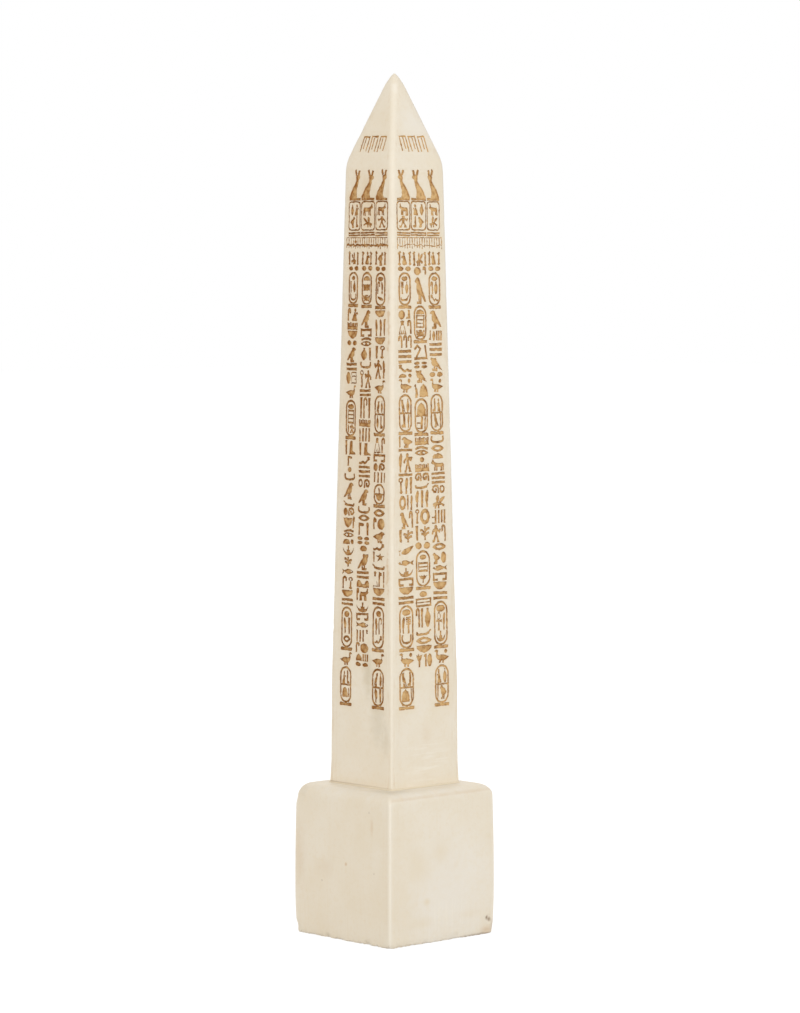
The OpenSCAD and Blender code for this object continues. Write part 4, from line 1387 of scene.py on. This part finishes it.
def soft_lamp(name, azimuth, elevation, distance, size, level, tint):
    """A square soft box that looks at the object's middle and lights a surface facing it by that level."""
    lamp = bpy.data.lights.new(name, "AREA")
    lamp.size = size
    lamp.energy = level * math.pi ** 2 * distance ** 2
    lamp.color = srgb(tint)[:3]
    made = bpy.data.objects.new(name, lamp)
    aim = Vector((0, 0, (CAD_BOX[0].z + CAD_BOX[1].z) / 2))
    away = Vector((math.sin(azimuth) * math.cos(elevation), -math.cos(azimuth) * math.cos(elevation),
                   math.sin(elevation)))
    made.location = aim + away * distance
    made.rotation_euler = (-away).to_track_quat("-Z", "Y").to_euler()
    bpy.context.scene.collection.objects.link(made)


class OBELISK_OT_shaft(bpy.types.Operator):
    """Makes the tapered shaft with its pyramid tip and its painted, sunk signs"""
    bl_idname = "obelisk.shaft"
    bl_label = "Carved shaft"

    def execute(self, context):
        material = shaft_plaster(context.scene.obelisk_colours)
        skin = build_shaft(context.scene.obelisk_shaft)
        skin.piece("carved_shaft", "shaft", "shaft_plaster", material, math.radians(34))
        return {"FINISHED"}


class OBELISK_OT_pedestal(bpy.types.Operator):
    """Makes the bellied pedestal with its rounded top edge and chipped base"""
    bl_idname = "obelisk.pedestal"
    bl_label = "Pedestal"

    def execute(self, context):
        material = pedestal_plaster(context.scene.obelisk_colours)
        skin = build_pedestal(context.scene.obelisk_pedestal)
        skin.piece("worn_pedestal", "pedestal", "pedestal_plaster", material, math.radians(50))
        return {"FINISHED"}


class OBELISK_OT_bed(bpy.types.Operator):
    """Makes the thin bed of plaster between the pedestal and the shaft"""
    bl_idname = "obelisk.bed"
    bl_label = "Setting bed"

    def execute(self, context):
        material = bed_plaster(context.scene.obelisk_colours)
        build_bed().piece("ragged_bed", "setting_bed", "bed_plaster", material, math.radians(40))
        return {"FINISHED"}


# Soft boxes: name, turn from the camera and height in degrees, size in metres, share of the front level, tint
SOFT_BOXES = (
    ("front_soft_box", 3, 24, 0.9, 1.0, "#ffffff"),
    ("warm_left_soft_box", -62, 18, 0.7, 0.2, "#fff7e7"),
    ("cool_right_soft_box", 62, 18, 0.7, 0.3, "#ecf7ff"),
    ("back_soft_box", 180, 30, 1.1, 0.6, "#ffffff"),
)
LAMP_DISTANCE = 1.6


class OBELISK_OT_stage(bpy.types.Operator):
    """Makes the floor, the studio light and the camera"""
    bl_idname = "obelisk.stage"
    bl_label = "Stage"

    def execute(self, context):
        scene, stage = context.scene, context.scene.obelisk_stage
        scene.view_settings.view_transform = "Standard"
        scene.world = studio_world(stage)
        reach = stage.floor_reach
        corners = [(-reach, -reach, 0), (reach, -reach, 0), (reach, reach, 0), (-reach, reach, 0)]
        sheet = bpy.data.meshes.new("paper_floor")
        sheet.from_pydata(corners, [], [(0, 1, 2, 3)])
        sheet.materials.append(table_top(stage))
        floor = bpy.data.objects.new("paper_floor", sheet)
        scene.collection.objects.link(floor)
        azimuth = stage.camera_azimuth
        for name, turn, height, size, share, tint in SOFT_BOXES:
            soft_lamp(name, azimuth + math.radians(turn), math.radians(height), LAMP_DISTANCE, size,
                      stage.front_level * share, tint)
        lens = bpy.data.cameras.new("photo_camera")
        lens.lens = stage.camera_lens
        lens.sensor_width = 36.0
        camera = bpy.data.objects.new("photo_camera", lens)
        away = stage.camera_distance
        camera.location = (math.sin(azimuth) * away, -math.cos(azimuth) * away, stage.camera_height)
        pitch = math.radians(90) - stage.camera_pitch
        camera.rotation_euler = Euler((pitch, 0.0, azimuth - stage.camera_turn), "XYZ")
        scene.collection.objects.link(camera)
        scene.camera = camera
        return {"FINISHED"}


class OBELISK_PT_sidebar(bpy.types.Panel):
    """Lists the pieces of the obelisk and their sizes and colours"""
    bl_idname = "OBELISK_PT_sidebar"
    bl_label = "Obelisk"
    bl_space_type = "VIEW_3D"
    bl_region_type = "UI"
    bl_category = "Obelisk"

    def draw(self, context):
        for operator in OPERATORS:
            self.layout.operator(operator.bl_idname)
        for group in GROUPS:
            box = self.layout.box()
            settings = getattr(context.scene, group)
            for label in settings.__annotations__:
                box.prop(settings, label)


GROUPS = {"obelisk_shaft": ShaftSizes, "obelisk_pedestal": PedestalSizes,
          "obelisk_colours": ObeliskColours, "obelisk_stage": StageSettings}
OPERATORS = (OBELISK_OT_pedestal, OBELISK_OT_bed, OBELISK_OT_shaft, OBELISK_OT_stage)


def register():
    for group in GROUPS.values():
        bpy.utils.register_class(group)
    for name, group in GROUPS.items():
        setattr(bpy.types.Scene, name, PointerProperty(type=group))
    for made in OPERATORS + (OBELISK_PT_sidebar,):
        bpy.utils.register_class(made)


def unregister():
    for made in (OBELISK_PT_sidebar,) + OPERATORS[::-1]:
        bpy.utils.unregister_class(made)
    for name in GROUPS:
        delattr(bpy.types.Scene, name)
    for group in GROUPS.values():
        bpy.utils.unregister_class(group)


def main():
    register()
    bpy.ops.obelisk.pedestal()
    bpy.ops.obelisk.bed()
    bpy.ops.obelisk.shaft()
    bpy.ops.obelisk.stage()


if __name__ == "__main__":
    main()
